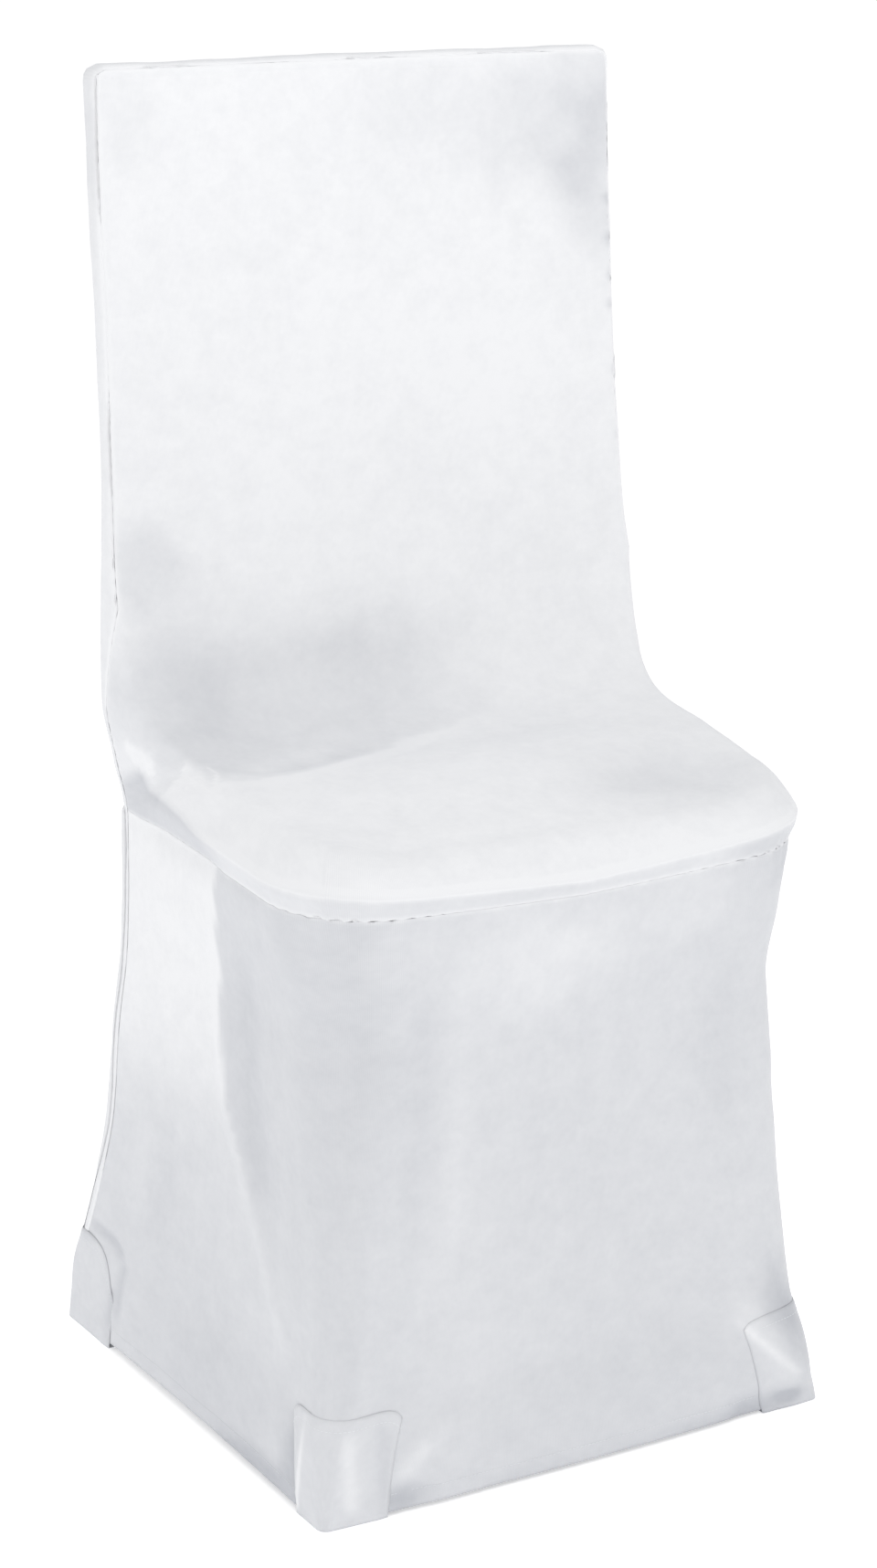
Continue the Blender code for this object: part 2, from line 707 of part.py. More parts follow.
def pocket_sheet(name, pocket, side, colour):
    end, height = pocket["end"], pocket["height"]
    columns = pocket_outline(end, pocket["side_reach"], pocket["end_reach"])
    layers = []
    for grow, floor in ((POCKET_GAP + CLOTH, 0.0), (POCKET_GAP, CLOTH)):
        points = []
        for j, (segment, share) in enumerate(columns):
            along = 2 * j / (len(columns) - 1) - 1
            top = height * (1 - POCKET_ENDS_DROP * along ** 4)
            for up in POCKET_ROWS:
                level = floor + (top - floor) * up
                points.append(section_point(level, segment, share, grow)[0])
        layers.append(points)
    rows = len(POCKET_ROWS)
    ends = []
    for segment, share in (columns[0], columns[-1]):
        point, out = section_point(0.0, segment, share, POCKET_GAP - SOLE_INSET)
        ends.append(point)
    for layer, floor in zip(layers, (0.0, CLOTH)):
        sole = []
        for j in range(len(columns)):
            wall = layer[j * rows + rows - 1]
            chord = ends[0] + (ends[1] - ends[0]) * j / (len(columns) - 1)
            for share in SOLE_ROWS:
                point = wall + (chord - wall) * share
                sole.append(vector(point[0], point[1], floor))
        layer.extend(sole)
    count = len(columns) * rows
    table = []
    for i in range(rows + len(SOLE_ROWS)):
        if i < rows:
            table.append([j * rows + i for j in range(len(columns))])
        else:
            table.append([count + j * len(SOLE_ROWS) + i - rows for j in range(len(columns))])
    faces = []
    for upper, lower in zip(table, table[1:]):
        for j in range(len(columns) - 1):
            face = (upper[j], lower[j], lower[j + 1], upper[j + 1])
            faces.append(face if (end == "front") == (side == 1) else face[::-1])
    outer, inner = (np.array(layer) * (side, 1, 1) for layer in layers)
    return closed_sheet(name, outer, inner, faces, colour)


def build():
    for thing in list(bpy.data.objects):
        bpy.data.objects.remove(thing, do_unlink=True)
    inside_panel().make("inside_back_and_seat", (0.86, 0.87, 0.89))
    outside_panel().make("outside_back", (0.84, 0.85, 0.87))
    skirt_panel().make("skirt", (0.80, 0.81, 0.84))
    for row in POCKETS:
        pocket = dict(zip(POCKET_COLUMNS, row))
        for side, word in ((1, "left"), (-1, "right")):
            name = "foot_pocket_" + pocket["end"] + "_" + word
            pocket_sheet(name, pocket, side, (0.82, 0.83, 0.86))


build()
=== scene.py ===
import math

import bmesh
import bpy
import numpy as np
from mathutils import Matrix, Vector, kdtree, noise


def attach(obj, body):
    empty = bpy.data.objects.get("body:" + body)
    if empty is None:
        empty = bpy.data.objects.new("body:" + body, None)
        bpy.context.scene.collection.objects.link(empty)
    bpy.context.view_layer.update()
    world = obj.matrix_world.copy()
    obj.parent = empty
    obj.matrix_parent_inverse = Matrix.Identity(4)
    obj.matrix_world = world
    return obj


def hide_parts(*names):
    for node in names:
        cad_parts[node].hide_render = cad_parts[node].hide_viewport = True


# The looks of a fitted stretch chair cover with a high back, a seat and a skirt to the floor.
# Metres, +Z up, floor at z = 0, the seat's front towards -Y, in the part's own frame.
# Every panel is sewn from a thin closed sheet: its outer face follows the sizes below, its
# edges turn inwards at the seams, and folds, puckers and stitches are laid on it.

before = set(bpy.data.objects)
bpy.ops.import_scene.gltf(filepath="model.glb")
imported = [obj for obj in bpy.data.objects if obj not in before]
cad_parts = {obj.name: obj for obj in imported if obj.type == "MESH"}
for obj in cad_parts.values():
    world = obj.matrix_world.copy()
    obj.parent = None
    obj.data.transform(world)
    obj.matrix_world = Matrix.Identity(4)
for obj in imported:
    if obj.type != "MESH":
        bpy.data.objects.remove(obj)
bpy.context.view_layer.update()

CLOTH = 0.0010           # thickness of the stretch cloth
SEAM_GAP = 0.0001        # what stays open between two panels at a seam
SEAM_TURN_RADIUS = 0.0002
SEAM_TURN_ANGLES = (15.0, 45.0, 75.0)
SEAM_ALLOWANCE = 0.0030  # how far a panel's edge runs inwards behind its seam
TOP_Z = 1.0115           # top edge of the back
TOP_BOW = 0.001
TOP_BOW_LEAN = 1.6
SLAB_CORNER = 0.011      # radius of the back's top corners, seen from the front
REAR_ROUND = 0.008       # rounding of the back's rear edges
FRONT_ROUND = 0.009      # rounding of the back's front edges, where the seam lies
SEAM_TURN = 40.0         # degrees round that front edge at which the seam lies
REAR_WRAP = 0.006        # how far the outside back wraps onto the sides below the seat
SEAM_SLOPE = 0.2
HEM_CLEAR = 0.0030
SIDE_ARCH = 0.003
FRONT_BOW = 0.005
BOW_FROM = 0.25
POCKET_GAP = 0.00025
OVER_HEM = 0.0004         # how much further out a pocket lies where it covers the hem
OVER_HEM_TO = 0.018
OVER_HEM_FADE = 0.004
POCKET_CLOTH = 0.0005
POCKET_EDGE = 0.0002      # thickness left at a pocket's pressed edge
POCKET_EDGE_RISE = 0.003
POCKET_HELD = 0.022       # above this a pocket takes the cloth's full unevenness

REAR_CORNER_COLUMNS = ("height", "half_width", "rear_y")
REAR_CORNER = (
    (1.010, 0.2200, 0.1270),
    (0.930, 0.2210, 0.1235),
    (0.830, 0.2215, 0.1130),
    (0.730, 0.2235, 0.1075),
    (0.660, 0.2260, 0.1040),
    (0.600, 0.2285, 0.1030),
    (0.550, 0.2290, 0.1035),
    (0.500, 0.2200, 0.1065),
    (0.452, 0.2095, 0.1110),
    (0.400, 0.2090, 0.1145),
    (0.340, 0.2085, 0.1230),
    (0.270, 0.2085, 0.1420),
    (0.200, 0.2100, 0.1520),
    (0.140, 0.2125, 0.1725),
    (0.090, 0.2150, 0.1930),
    (0.050, 0.2172, 0.2105),
    (0.000, 0.2185, 0.2195),
)

FRONT_FACE_COLUMNS = ("height", "front_y")
FRONT_FACE = (
    (1.010, 0.1025),
    (0.930, 0.1000),
    (0.830, 0.0930),
    (0.730, 0.0860),
    (0.660, 0.0795),
    (0.600, 0.0675),
)

SKIRT_FRONT_COLUMNS = ("height", "half_width", "front_y", "radius", "side_bow", "front_bow")
SKIRT_FRONT = (
    (0.447, 0.2155, -0.2130, 0.072, 0.000, 0.000),
    (0.400, 0.2075, -0.2080, 0.064, 0.001, 0.001),
    (0.340, 0.1985, -0.2010, 0.054, 0.003, 0.002),
    (0.270, 0.1990, -0.2025, 0.044, 0.004, 0.003),
    (0.200, 0.2010, -0.2050, 0.037, 0.005, 0.003),
    (0.140, 0.2040, -0.2080, 0.032, 0.005, 0.003),
    (0.090, 0.2085, -0.2120, 0.026, 0.005, 0.002),
    (0.050, 0.2145, -0.2165, 0.016, 0.003, -0.002),
    (0.000, 0.2185, -0.2195, 0.007, 0.001, -0.006),
)

BEND_COLUMNS = (
    "row", "crest_half", "crest_y", "crest_z", "seam_y", "seam_z", "turn", "reach", "lean",
)
BEND = (
    (0, 0.2200, 0.0715, 0.620, 0.0735, 0.6200, 40.0, 0.002, 0.000),
    (1, 0.2185, 0.0650, 0.590, 0.0810, 0.5900, 60.0, 0.006, 0.000),
    (2, 0.2160, 0.0570, 0.565, 0.0870, 0.5600, 80.0, 0.010, 0.000),
    (3, 0.2120, 0.0430, 0.545, 0.0905, 0.5310, 90.0, 0.013, 0.000),
    (4, 0.2080, 0.0250, 0.532, 0.0925, 0.5045, 90.0, 0.013, 0.001),
    (5, 0.2040, 0.0050, 0.524, 0.0945, 0.4810, 90.0, 0.013, 0.002),
    (6, 0.2005, -0.0190, 0.519, 0.0970, 0.4590, 90.0, 0.014, 0.004),
    (7, 0.1980, -0.0430, 0.516, 0.0500, 0.4575, 90.0, 0.016, 0.007),
    (8, 0.1965, -0.0670, 0.5135, 0.0050, 0.4560, 90.0, 0.019, 0.010),
    (9, 0.1950, -0.0900, 0.510, -0.0450, 0.4545, 90.0, 0.022, 0.013),
    (10, 0.1945, -0.1110, 0.506, -0.0920, 0.4530, 90.0, 0.024, 0.014),
    (11, 0.1940, -0.1290, 0.501, -0.1390, 0.4510, 90.0, 0.025, 0.015),
)
JUNCTION_ROW = 6         # the row at which seat, outside back and skirt meet
JUNCTION_Z = 0.459
JUNCTION_X = 0.212
SLOPE_ROWS = 2           # rows below it over which the seam takes its slope
RELAX_MIDDLE = (JUNCTION_X, 0.075, 0.480)
RELAX_REACH = (0.020, 0.040, 0.026)  # how far round the junction the cloth is evened out
RELAX_TIMES = 40
RELAX_STEP = 0.6
RELAX_LEAST = 0.0005     # below this share a point stays where it is
RELAX_SEAM_CLEAR = 0.0012  # so do those this near to a seam
RELAX_SEAM_FADE = 0.004
LIFT_FROM = 4.0          # rows over which the cloth's way out of the seam turns upwards
LIFT_TO = 8.0
SLAB_REACH = 0.002
EDGE_HOLD = 0.018
EDGE_HOLD_SHARE = 0.45
CREST_RADIUS = 0.056     # plan radius of the crest at the seat's front corners
CREST_FRONT_Y = -0.185
CREST_FRONT_Z = 0.487
RIM_COLUMNS = ("stop", "weight", "up", "out")
RIM = (
    (21.0, 0.00, 0.030, 0.0060),
    (25.0, 0.60, 0.026, 0.0062),
    (27.0, 1.00, 0.020, 0.0066),
    (31.0, 1.00, 0.0195, 0.0066),
    (34.0, 1.00, 0.0190, 0.0064),
    (37.0, 1.00, 0.0165, 0.0056),
    (41.0, 1.00, 0.0125, 0.0050),
)
RIM_FALL = 58.0          # degrees below level at which the seat's top reaches its rim
RIM_TOP_HOLD = 0.016
# How the cloth runs from the rim to the seam: share of the way, and how far it stands out.
RIM_LOWER = (0.35, 0.0004)
SEAM_UPPER = (0.30, 0.0012)
RIM_TOP_STEPS = 12       # of the rows across the edge, those above the rim
SEAM_FRONT_Z = 0.4435

# The part's own points along the back: its place values run evenly over these heights.
BACK_STOPS = (1.0125, 1.0005, 0.980, 0.930, 0.870, 0.810, 0.750, 0.700, 0.660, 0.620)
BEND_STOP = 9            # number of the stop at which the bend begins
ROW_STOPS = 2            # stops for each row of BEND
CORNER_STOP = 31         # the stop at which the seat's front corner begins
LAST_STOP = 34           # the stop in the middle of that corner
CORNER_STOPS = 6         # stops round a front corner
FRONT_STOPS = 4          # stops from there to the middle of the front
FRONT_BOW_STOP = 27      # the stop from which the seat follows the bow of its front edge
WIDTH_STOPS = 14         # stops across the cover
HOLD_STOPS = 3.0         # over how many stops from an edge the cloth is freed for its folds

RISE_COLUMNS = ("place", "rise")
RISE = (
    (0.00, 0.0000),
    (0.15, 0.0030),
    (0.35, 0.0040),
    (0.50, -0.0020),
    (0.62, -0.0040),
    (0.75, 0.0030),
    (0.88, 0.0050),
    (1.00, 0.0000),
)

# How finely the cloth is laid out.
BACK_PITCH = 0.0040      # rows down the back
BEND_SPLIT = 8           # rows for each row of BEND
CORNER_STEPS = 30        # columns round a front corner of the seat
FRONT_STEPS = 36         # columns from there to the middle of the front
EDGE_STEPS = 20          # rows across the seat's rolled edge
SKIRT_STEPS = 124        # rows from the seat seam to the hem
SKIRT_HOLD_STEPS = 6     # over how many of them the cloth is freed for its folds
SEAM_EASE = 0.35         # how near its seam the skirt's outermost row stays
TURN_MAP_STEP = 0.001    # flat width given to each row of cloth turned in at a seam
POCKET_STEPS = 30
POCKET_CORNER_STEPS = 8
POCKET_COLUMN = 0.0022   # about the width of one column of a pocket

# Soft dents (depth above 0) and swellings (below 0): middle, reach along each axis, depth.
DENT_COLUMNS = ("sheet", "x", "y", "z", "reach_x", "reach_y", "reach_z", "depth")
DENTS = (
    ("inside", -0.100, 0.050, 0.548, 0.120, 0.060, 0.048, 0.0120),
    ("inside", 0.160, 0.100, 0.925, 0.050, 0.040, 0.045, 0.0060),
    ("inside", 0.205, 0.100, 0.900, 0.020, 0.040, 0.040, 0.0025),
    ("inside", -0.195, 0.080, 0.655, 0.030, 0.040, 0.032, 0.0030),
    ("inside", -0.150, 0.082, 0.690, 0.060, 0.040, 0.060, -0.0020),
    ("inside", 0.020, 0.090, 0.800, 0.110, 0.040, 0.090, -0.0020),
    ("inside", 0.110, -0.140, 0.500, 0.060, 0.040, 0.040, 0.0050),
    ("inside", 0.020, -0.120, 0.500, 0.080, 0.050, 0.040, -0.0018),
    ("skirt", -0.188, -0.188, 0.320, 0.027, 0.027, 0.130, 0.0055),
    ("skirt", 0.150, -0.205, 0.150, 0.030, 0.040, 0.080, -0.0030),
    ("skirt", -0.120, -0.205, 0.180, 0.020, 0.040, 0.100, 0.0030),
    ("skirt", -0.020, -0.210, 0.380, 0.070, 0.040, 0.040, -0.0025),
)
DENTS_FROM = 0.09
DENTS_FADE = 0.05
HOLD_BELOW = 0.045       # below this the folds reach right to the hem
HOLD_FADE = 0.015
FOLD_HOLD_RATE = 3       # how much sooner than the dents the folds begin beside an edge
UNEVEN_HOLD_RATE = 2     # and the slight unevenness of the cloth

# Folds laid along given lines: the sheets each lies on, the line it follows, how high it stands (below 0 is
# a crease), and how wide it is. fade tells how sharply it begins and stops, as a share of its length at each
# end.
FOLD_COLUMNS = ("sheets", "height", "width", "fade", "line")
FOLDS = (
    # The crease where the left side ends, from the seat to the front foot.
    (("skirt",), 0.0020, 0.009, 0.16, (
        (-0.2130, -0.050, 0.445), (-0.2000, -0.033, 0.340), (-0.1990, -0.036, 0.269),
        (-0.1990, -0.071, 0.209), (-0.2030, -0.120, 0.134), (-0.2090, -0.158, 0.079),
    )),
    (("skirt",), -0.0026, 0.022, 0.30, (
        (-0.2110, -0.085, 0.430), (-0.1990, -0.075, 0.340), (-0.1980, -0.080, 0.269),
        (-0.2000, -0.115, 0.180),
    )),
    # The rim of the seat, and the pressed line below it.
    (("inside",), 0.0010, 0.0050, 0.22, (
        (-0.2190, -0.046, 0.4735), (-0.2190, -0.072, 0.4715), (-0.2185, -0.118, 0.4700),
        (-0.2170, -0.159, 0.4710), (-0.2050, -0.186, 0.4690), (-0.1750, -0.210, 0.4670),
        (-0.1080, -0.221, 0.4630), (-0.0350, -0.2225, 0.4570),
    )),
    (("inside",), -0.0010, 0.0030, 0.20, (
        (-0.2020, -0.188, 0.4620), (-0.1750, -0.2095, 0.4600), (-0.1080, -0.2205, 0.4565),
        (-0.0350, -0.2220, 0.4520), (0.0440, -0.2215, 0.4500), (0.1000, -0.2180, 0.4510),
    )),
    # Where the cloth leaves the hollow at the foot of the back and lies on the seat.
    (("inside",), 0.0016, 0.009, 0.25, (
        (-0.2120, 0.028, 0.498), (-0.2010, -0.045, 0.512), (-0.1520, -0.062, 0.515),
        (-0.0810, -0.043, 0.515), (0.0010, -0.008, 0.517), (0.0600, 0.010, 0.522),
    )),
    (("inside",), -0.0020, 0.010, 0.25, (
        (-0.2120, 0.045, 0.505), (-0.1900, -0.025, 0.515), (-0.1480, -0.038, 0.518),
        (-0.0850, -0.020, 0.518), (-0.0100, 0.012, 0.522),
    )),
    # Slack drawn towards the right edge of the back.
    (("inside",), -0.0016, 0.014, 0.40, (
        (0.120, 0.101, 0.962), (0.165, 0.100, 0.930), (0.208, 0.098, 0.885),
    )),
    (("inside",), 0.0012, 0.012, 0.40, (
        (0.110, 0.101, 0.930), (0.160, 0.098, 0.895), (0.206, 0.096, 0.850),
    )),
    # Folds of the front, running down from the seat.
    (("skirt",), -0.0018, 0.016, 0.35, (
        (-0.1200, -0.218, 0.430), (-0.1250, -0.206, 0.300), (-0.1350, -0.208, 0.150),
    )),
    (("skirt",), 0.0014, 0.014, 0.35, (
        (-0.0900, -0.218, 0.430), (-0.0980, -0.206, 0.300), (-0.1100, -0.208, 0.140),
    )),
    (("skirt",), -0.0014, 0.020, 0.40, (
        (0.1200, -0.216, 0.420), (0.1300, -0.204, 0.300), (0.1500, -0.207, 0.170),
    )),
    # Streaks on the left side, low towards the rear foot.
    (("skirt",), 0.0014, 0.012, 0.40, (
        (-0.2060, 0.075, 0.240), (-0.2080, 0.095, 0.170), (-0.2120, 0.110, 0.110),
    )),
    (("skirt",), -0.0014, 0.014, 0.40, (
        (-0.2060, 0.040, 0.260), (-0.2080, 0.055, 0.170), (-0.2120, 0.075, 0.090),
    )),
    # The cloth dips beside the cup at the front left foot, and is drawn up from it.
    (("skirt",), -0.0036, 0.0080, 0.30, (
        (-0.2120, -0.155, 0.084), (-0.2150, -0.172, 0.060), (-0.2190, -0.183, 0.030),
        (-0.2200, -0.188, -0.010),
    )),
    (("skirt", "pocket"), -0.0026, 0.0070, 0.30, (
        (-0.1640, -0.2150, 0.088), (-0.1660, -0.2185, 0.050), (-0.1680, -0.2205, 0.020),
        (-0.1680, -0.2215, -0.010),
    )),
    (("skirt",), -0.0026, 0.0090, 0.35, (
        (-0.1680, -0.2215, 0.006), (-0.1480, -0.2210, 0.012), (-0.1200, -0.2210, 0.012),
    )),
    (("skirt",), 0.0016, 0.0090, 0.30, (
        (-0.1630, -0.2205, 0.022), (-0.1250, -0.2195, 0.052), (-0.1020, -0.2165, 0.070),
    )),
    # The pouch of cloth above the front right foot.
    (("skirt", "pocket"), 0.0030, 0.0130, 0.30, (
        (0.1300, -0.2110, 0.115), (0.1560, -0.2130, 0.081), (0.1850, -0.2190, 0.045),
        (0.2100, -0.2210, 0.012),
    )),
    (("skirt", "pocket"), -0.0030, 0.0140, 0.35, (
        (0.1720, -0.2090, 0.140), (0.1880, -0.2130, 0.095), (0.2060, -0.2180, 0.055),
    )),
    (("skirt", "pocket"), -0.0036, 0.0095, 0.35, (
        (0.1250, -0.2210, 0.010), (0.1600, -0.2215, 0.010), (0.1980, -0.2215, 0.009),
    )),
    # The front hem rolls under a little.
    (("skirt", "pocket"), -0.0022, 0.0110, 0.20, (
        (-0.1300, -0.2230, 0.001), (0.0000, -0.2240, 0.001), (0.2000, -0.2230, 0.001),
    )),
    # A pressed groove round the cup at the rear left foot.
    (("skirt", "pocket"), -0.0018, 0.0050, 0.12, (
        (-0.2150, 0.185, 0.096), (-0.2140, 0.155, 0.095), (-0.2130, 0.132, 0.088),
        (-0.2140, 0.124, 0.070), (-0.2160, 0.130, 0.045), (-0.2180, 0.140, 0.025),
        (-0.2190, 0.147, 0.000),
    )),
)

# Painted shade laid into the cloth's colour, a base for each sheet: 0 leaves it white, above 0 paints it
# darker.
PAINTED_SHADE_BASE = {"inside": 0.10, "outside": 0.22, "skirt": 0.76, "pocket": 0.74}
# Patches of painted shade: the sheets they lie on, middle, reach along each axis, amount; below 0 they paint
# light.
PAINTED_SHADE_COLUMNS = ("sheets", "x", "y", "z", "reach_x", "reach_y", "reach_z", "amount")
PAINTED_SHADES = (
    # Painted shade in the hollow at the foot of the back.
    (("inside",), -0.085, 0.030, 0.545, 0.140, 0.120, 0.046, 0.40),
    (("inside",), -0.200, 0.050, 0.545, 0.060, 0.110, 0.060, 0.40),
    (("inside",), -0.015, 0.060, 0.580, 0.055, 0.070, 0.034, 0.16),
    (("inside",), -0.200, 0.079, 0.652, 0.036, 0.060, 0.030, 0.42),
    (("inside",), -0.170, 0.070, 0.610, 0.050, 0.060, 0.036, 0.16),
    # High on the back, towards its right edge, and along its top.
    (("inside",), 0.155, 0.100, 0.955, 0.075, 0.050, 0.050, 0.30),
    (("inside",), 0.208, 0.100, 0.925, 0.032, 0.050, 0.070, 0.46),
    (("inside",), 0.180, 0.100, 0.900, 0.030, 0.050, 0.030, 0.18),
    (("inside",), 0.190, 0.100, 0.985, 0.060, 0.050, 0.030, 0.20),
    (("inside",), 0.040, 0.100, 0.975, 0.050, 0.050, 0.036, 0.16),
    (("inside",), -0.200, 0.100, 0.970, 0.030, 0.050, 0.040, 0.16),
    (("inside",), 0.080, 0.090, 0.780, 0.100, 0.050, 0.080, -0.06),
    # Painted shade of small gathers on the back's right edge.
    (("inside",), 0.2185, 0.102, 0.8950, 0.007, 0.020, 0.005, 0.75),
    (("inside",), 0.2190, 0.101, 0.8640, 0.008, 0.020, 0.006, 0.75),
    (("inside",), 0.2190, 0.099, 0.8360, 0.006, 0.020, 0.005, 0.65),
    (("inside",), 0.2190, 0.097, 0.8130, 0.007, 0.020, 0.005, 0.70),
    (("inside",), 0.2200, 0.095, 0.7620, 0.006, 0.020, 0.005, 0.60),
    (("inside",), 0.2210, 0.092, 0.7100, 0.006, 0.020, 0.004, 0.45),
    # The seat.
    (("inside",), 0.110, -0.150, 0.500, 0.075, 0.045, 0.040, 0.38),
    (("inside",), 0.165, -0.215, 0.455, 0.035, 0.025, 0.012, 0.35),
    (("outside",), -0.221, 0.112, 0.965, 0.020, 0.020, 0.040, 0.20),
    # The skirt.
    (("skirt",), -0.030, -0.215, 0.400, 0.085, 0.040, 0.040, -0.34),
    (("skirt",), 0.090, -0.215, 0.425, 0.060, 0.040, 0.025, -0.14),
    (("skirt",), -0.150, -0.215, 0.420, 0.030, 0.030, 0.025, -0.12),
    (("skirt",), 0.200, -0.200, 0.440, 0.045, 0.060, 0.030, 0.25),
    (("skirt", "pocket"), 0.188, -0.214, 0.078, 0.020, 0.030, 0.034, 0.42),
    (("skirt", "pocket"), 0.204, -0.216, 0.050, 0.014, 0.030, 0.030, 0.35),
    (("skirt",), -0.216, -0.060, 0.020, 0.040, 0.120, 0.070, 0.16),
    (("skirt",), -0.210, 0.030, 0.100, 0.030, 0.100, 0.080, 0.14),
    (("skirt",), 0.060, -0.215, 0.040, 0.140, 0.030, 0.050, 0.12),
    (("skirt",), -0.100, -0.215, 0.140, 0.040, 0.030, 0.120, -0.10),
    # At the front feet.
    (("pocket",), -0.205, -0.205, 0.040, 0.045, 0.045, 0.070, -0.08),
    (("skirt",), -0.2165, -0.168, 0.026, 0.030, 0.017, 0.034, 0.55),
    (("skirt",), -0.2165, -0.178, 0.014, 0.030, 0.011, 0.032, 0.60),
    (("skirt",), -0.2165, -0.130, 0.008, 0.030, 0.060, 0.013, 0.55),
    (("skirt",), -0.156, -0.2185, 0.010, 0.016, 0.030, 0.016, 0.50),
    (("pocket", "skirt"), 0.191, -0.2185, 0.010, 0.012, 0.020, 0.0055, 0.80),
    (("pocket", "skirt"), 0.150, -0.2200, 0.000, 0.070, 0.020, 0.014, 0.35),
)
# Thin bands and lines of painted shade, and of painted light where the amount is below 0: how much, how
# wide, how they fade at their ends.
PAINTED_SHADE_LINE_COLUMNS = ("sheets", "amount", "width", "fade", "line")
PAINTED_SHADE_LINES = (
    (("pocket",), -0.42, 0.0070, 0.15, (
        (-0.1955, -0.2190, 0.075), (-0.1952, -0.2200, 0.040), (-0.1950, -0.2205, 0.004),
    )),
    (("pocket",), -0.90, 0.0026, 0.10, (
        (-0.2150, -0.1825, 0.084), (-0.2170, -0.1825, 0.050), (-0.2185, -0.1825, 0.020),
        (-0.2190, -0.1825, 0.000),
    )),
    (("skirt",), -0.30, 0.0060, 0.20, (
        (-0.1680, -0.2185, 0.014), (-0.1636, -0.2185, 0.020), (-0.1255, -0.2185, 0.050),
    )),
    (("skirt",), -0.35, 0.0050, 0.25, (
        (-0.1690, -0.2190, 0.010), (-0.1680, -0.2190, 0.020), (-0.1660, -0.2190, 0.030),
    )),
    (("skirt", "pocket"), -0.48, 0.0038, 0.20, (
        (0.1300, -0.2150, 0.092), (0.1436, -0.2170, 0.079), (0.2082, -0.2200, 0.017),
    )),
    (("skirt",), 0.50, 0.0060, 0.30, (
        (-0.2180, -0.0300, 0.004), (-0.2180, -0.0980, 0.004), (-0.2185, -0.1500, 0.004),
        (-0.2185, -0.1900, 0.003),
    )),
    (("skirt",), 0.32, 0.0055, 0.15, (
        (-0.2150, 0.185, 0.092), (-0.2140, 0.155, 0.093), (-0.2130, 0.134, 0.088),
        (-0.2140, 0.122, 0.070), (-0.2160, 0.127, 0.045), (-0.2180, 0.140, 0.018),
    )),
    (("pocket",), 0.30, 0.0050, 0.15, (
        (-0.2150, 0.2000, 0.078), (-0.2140, 0.1550, 0.086), (-0.2150, 0.1350, 0.070),
        (-0.2165, 0.1380, 0.045), (-0.2180, 0.1460, 0.012),
    )),
    (("pocket",), -0.06, 0.0120, 0.20, (
        (-0.2160, 0.1720, 0.070), (-0.2170, 0.1640, 0.045), (-0.2180, 0.1680, 0.020),
    )),
)
FOLD_PAINTED_SHADE = 90.0        # painted shade that a crease of 1 m would add, and painted light that a ridge would add
PAINTED_SHADE_FULL = 1.6         # the amount at which the cloth has its full painted shade
# The crease where the skirt's left side ends: painted light lies behind it, painted shade on the corner in
# front of it.
SIDE_CREASE = ((0.445, -0.050), (0.340, -0.033), (0.269, -0.036), (0.209, -0.071),
               (0.134, -0.120), (0.079, -0.158), (0.000, -0.185))
SIDE_PAINTED_LIGHT = 0.70        # painted light on the flat left side, down to where it turns under
SIDE_PAINTED_LIGHT_TO = (0.180, 0.340)
# Painted shade on the skirt's front left corner, in front of the crease, rising from the foot.
CORNER_PAINTED_SHADE = 0.12
CORNER_PAINTED_SHADE_TO = (-0.178, -0.110)
CORNER_PAINTED_SHADE_FOOT = 0.06
CORNER_PAINTED_SHADE_RISE = 0.2
CREASE_BORDER = 0.0035
SHARP_REACH = 0.02       # a patch of painted shade with a smaller reach keeps a clean border
PAINTED_SHADE_RANGE = (-0.5, 1.5)
# Where the painted shade of the hollow at the foot of the back stops on the seat: its line, its height on
# the left rim, and the heights of the patches it holds.
HOLLOW_EDGE = ((-0.216, 0.060), (-0.212, 0.028), (-0.201, -0.050), (-0.152, -0.062),
               (-0.081, -0.043), (0.001, -0.008), (0.060, 0.015), (0.220, 0.060))
HOLLOW_FOOT = 0.512      # the same edge's height on the left rim
HOLLOW_FOOT_X = -0.206   # left of this its height counts, not its line
HOLLOW_BORDER = 0.008
HOLLOW_BOTTOM = JUNCTION_Z + 0.06
HOLLOW_TOP = 0.63
BAND_PAINTED_SHADE = 0.42        # painted shade on the narrow band between the seat's rim and its seam
BAND_BEFORE = 0.5        # rows above the rim at which it begins, and over which it comes
BAND_RISE = 1.5
WEDGE_PAINTED_SHADE = 0.95       # that painted shade, darker, where the seat's side tucks in
WEDGE_ROWS = (4.4, 5.2, 8.6, 10.0)
# Painted highlight along the seat's rim, and the rows over which it spreads.
RIM_PAINTED_HIGHLIGHT = 0.50
RIM_HIGHLIGHT_ROWS = 1.1
SEAM_PAINTED_SHADE = -0.40       # below 0, so painted light along the seams, offsetting the dark of their groove
SEAM_PAINTED_SHADE_WIDTH = 0.0022
MOTTLE = (0.35, 0.48, 0.22)  # unevenness of the nap: wide clouds, soft spots, specks
WARP = ((24.0, 0.014), (70.0, 0.006))
NOISE_SEED = 1           # the warp would otherwise differ from run to run

# Where the seat's left side tucks in above its seam: pushed straight sideways on both panels.
TUCK_LINE = (
    (-0.2095, 0.080, 0.4600), (-0.2110, 0.045, 0.4575), (-0.2125, 0.005, 0.4560),
    (-0.2130, -0.045, 0.4545), (-0.2140, -0.080, 0.4535),
)
TUCK_DEPTH = 0.0042
TUCK_WIDTH = 0.0130
TUCK_FADE = 0.30

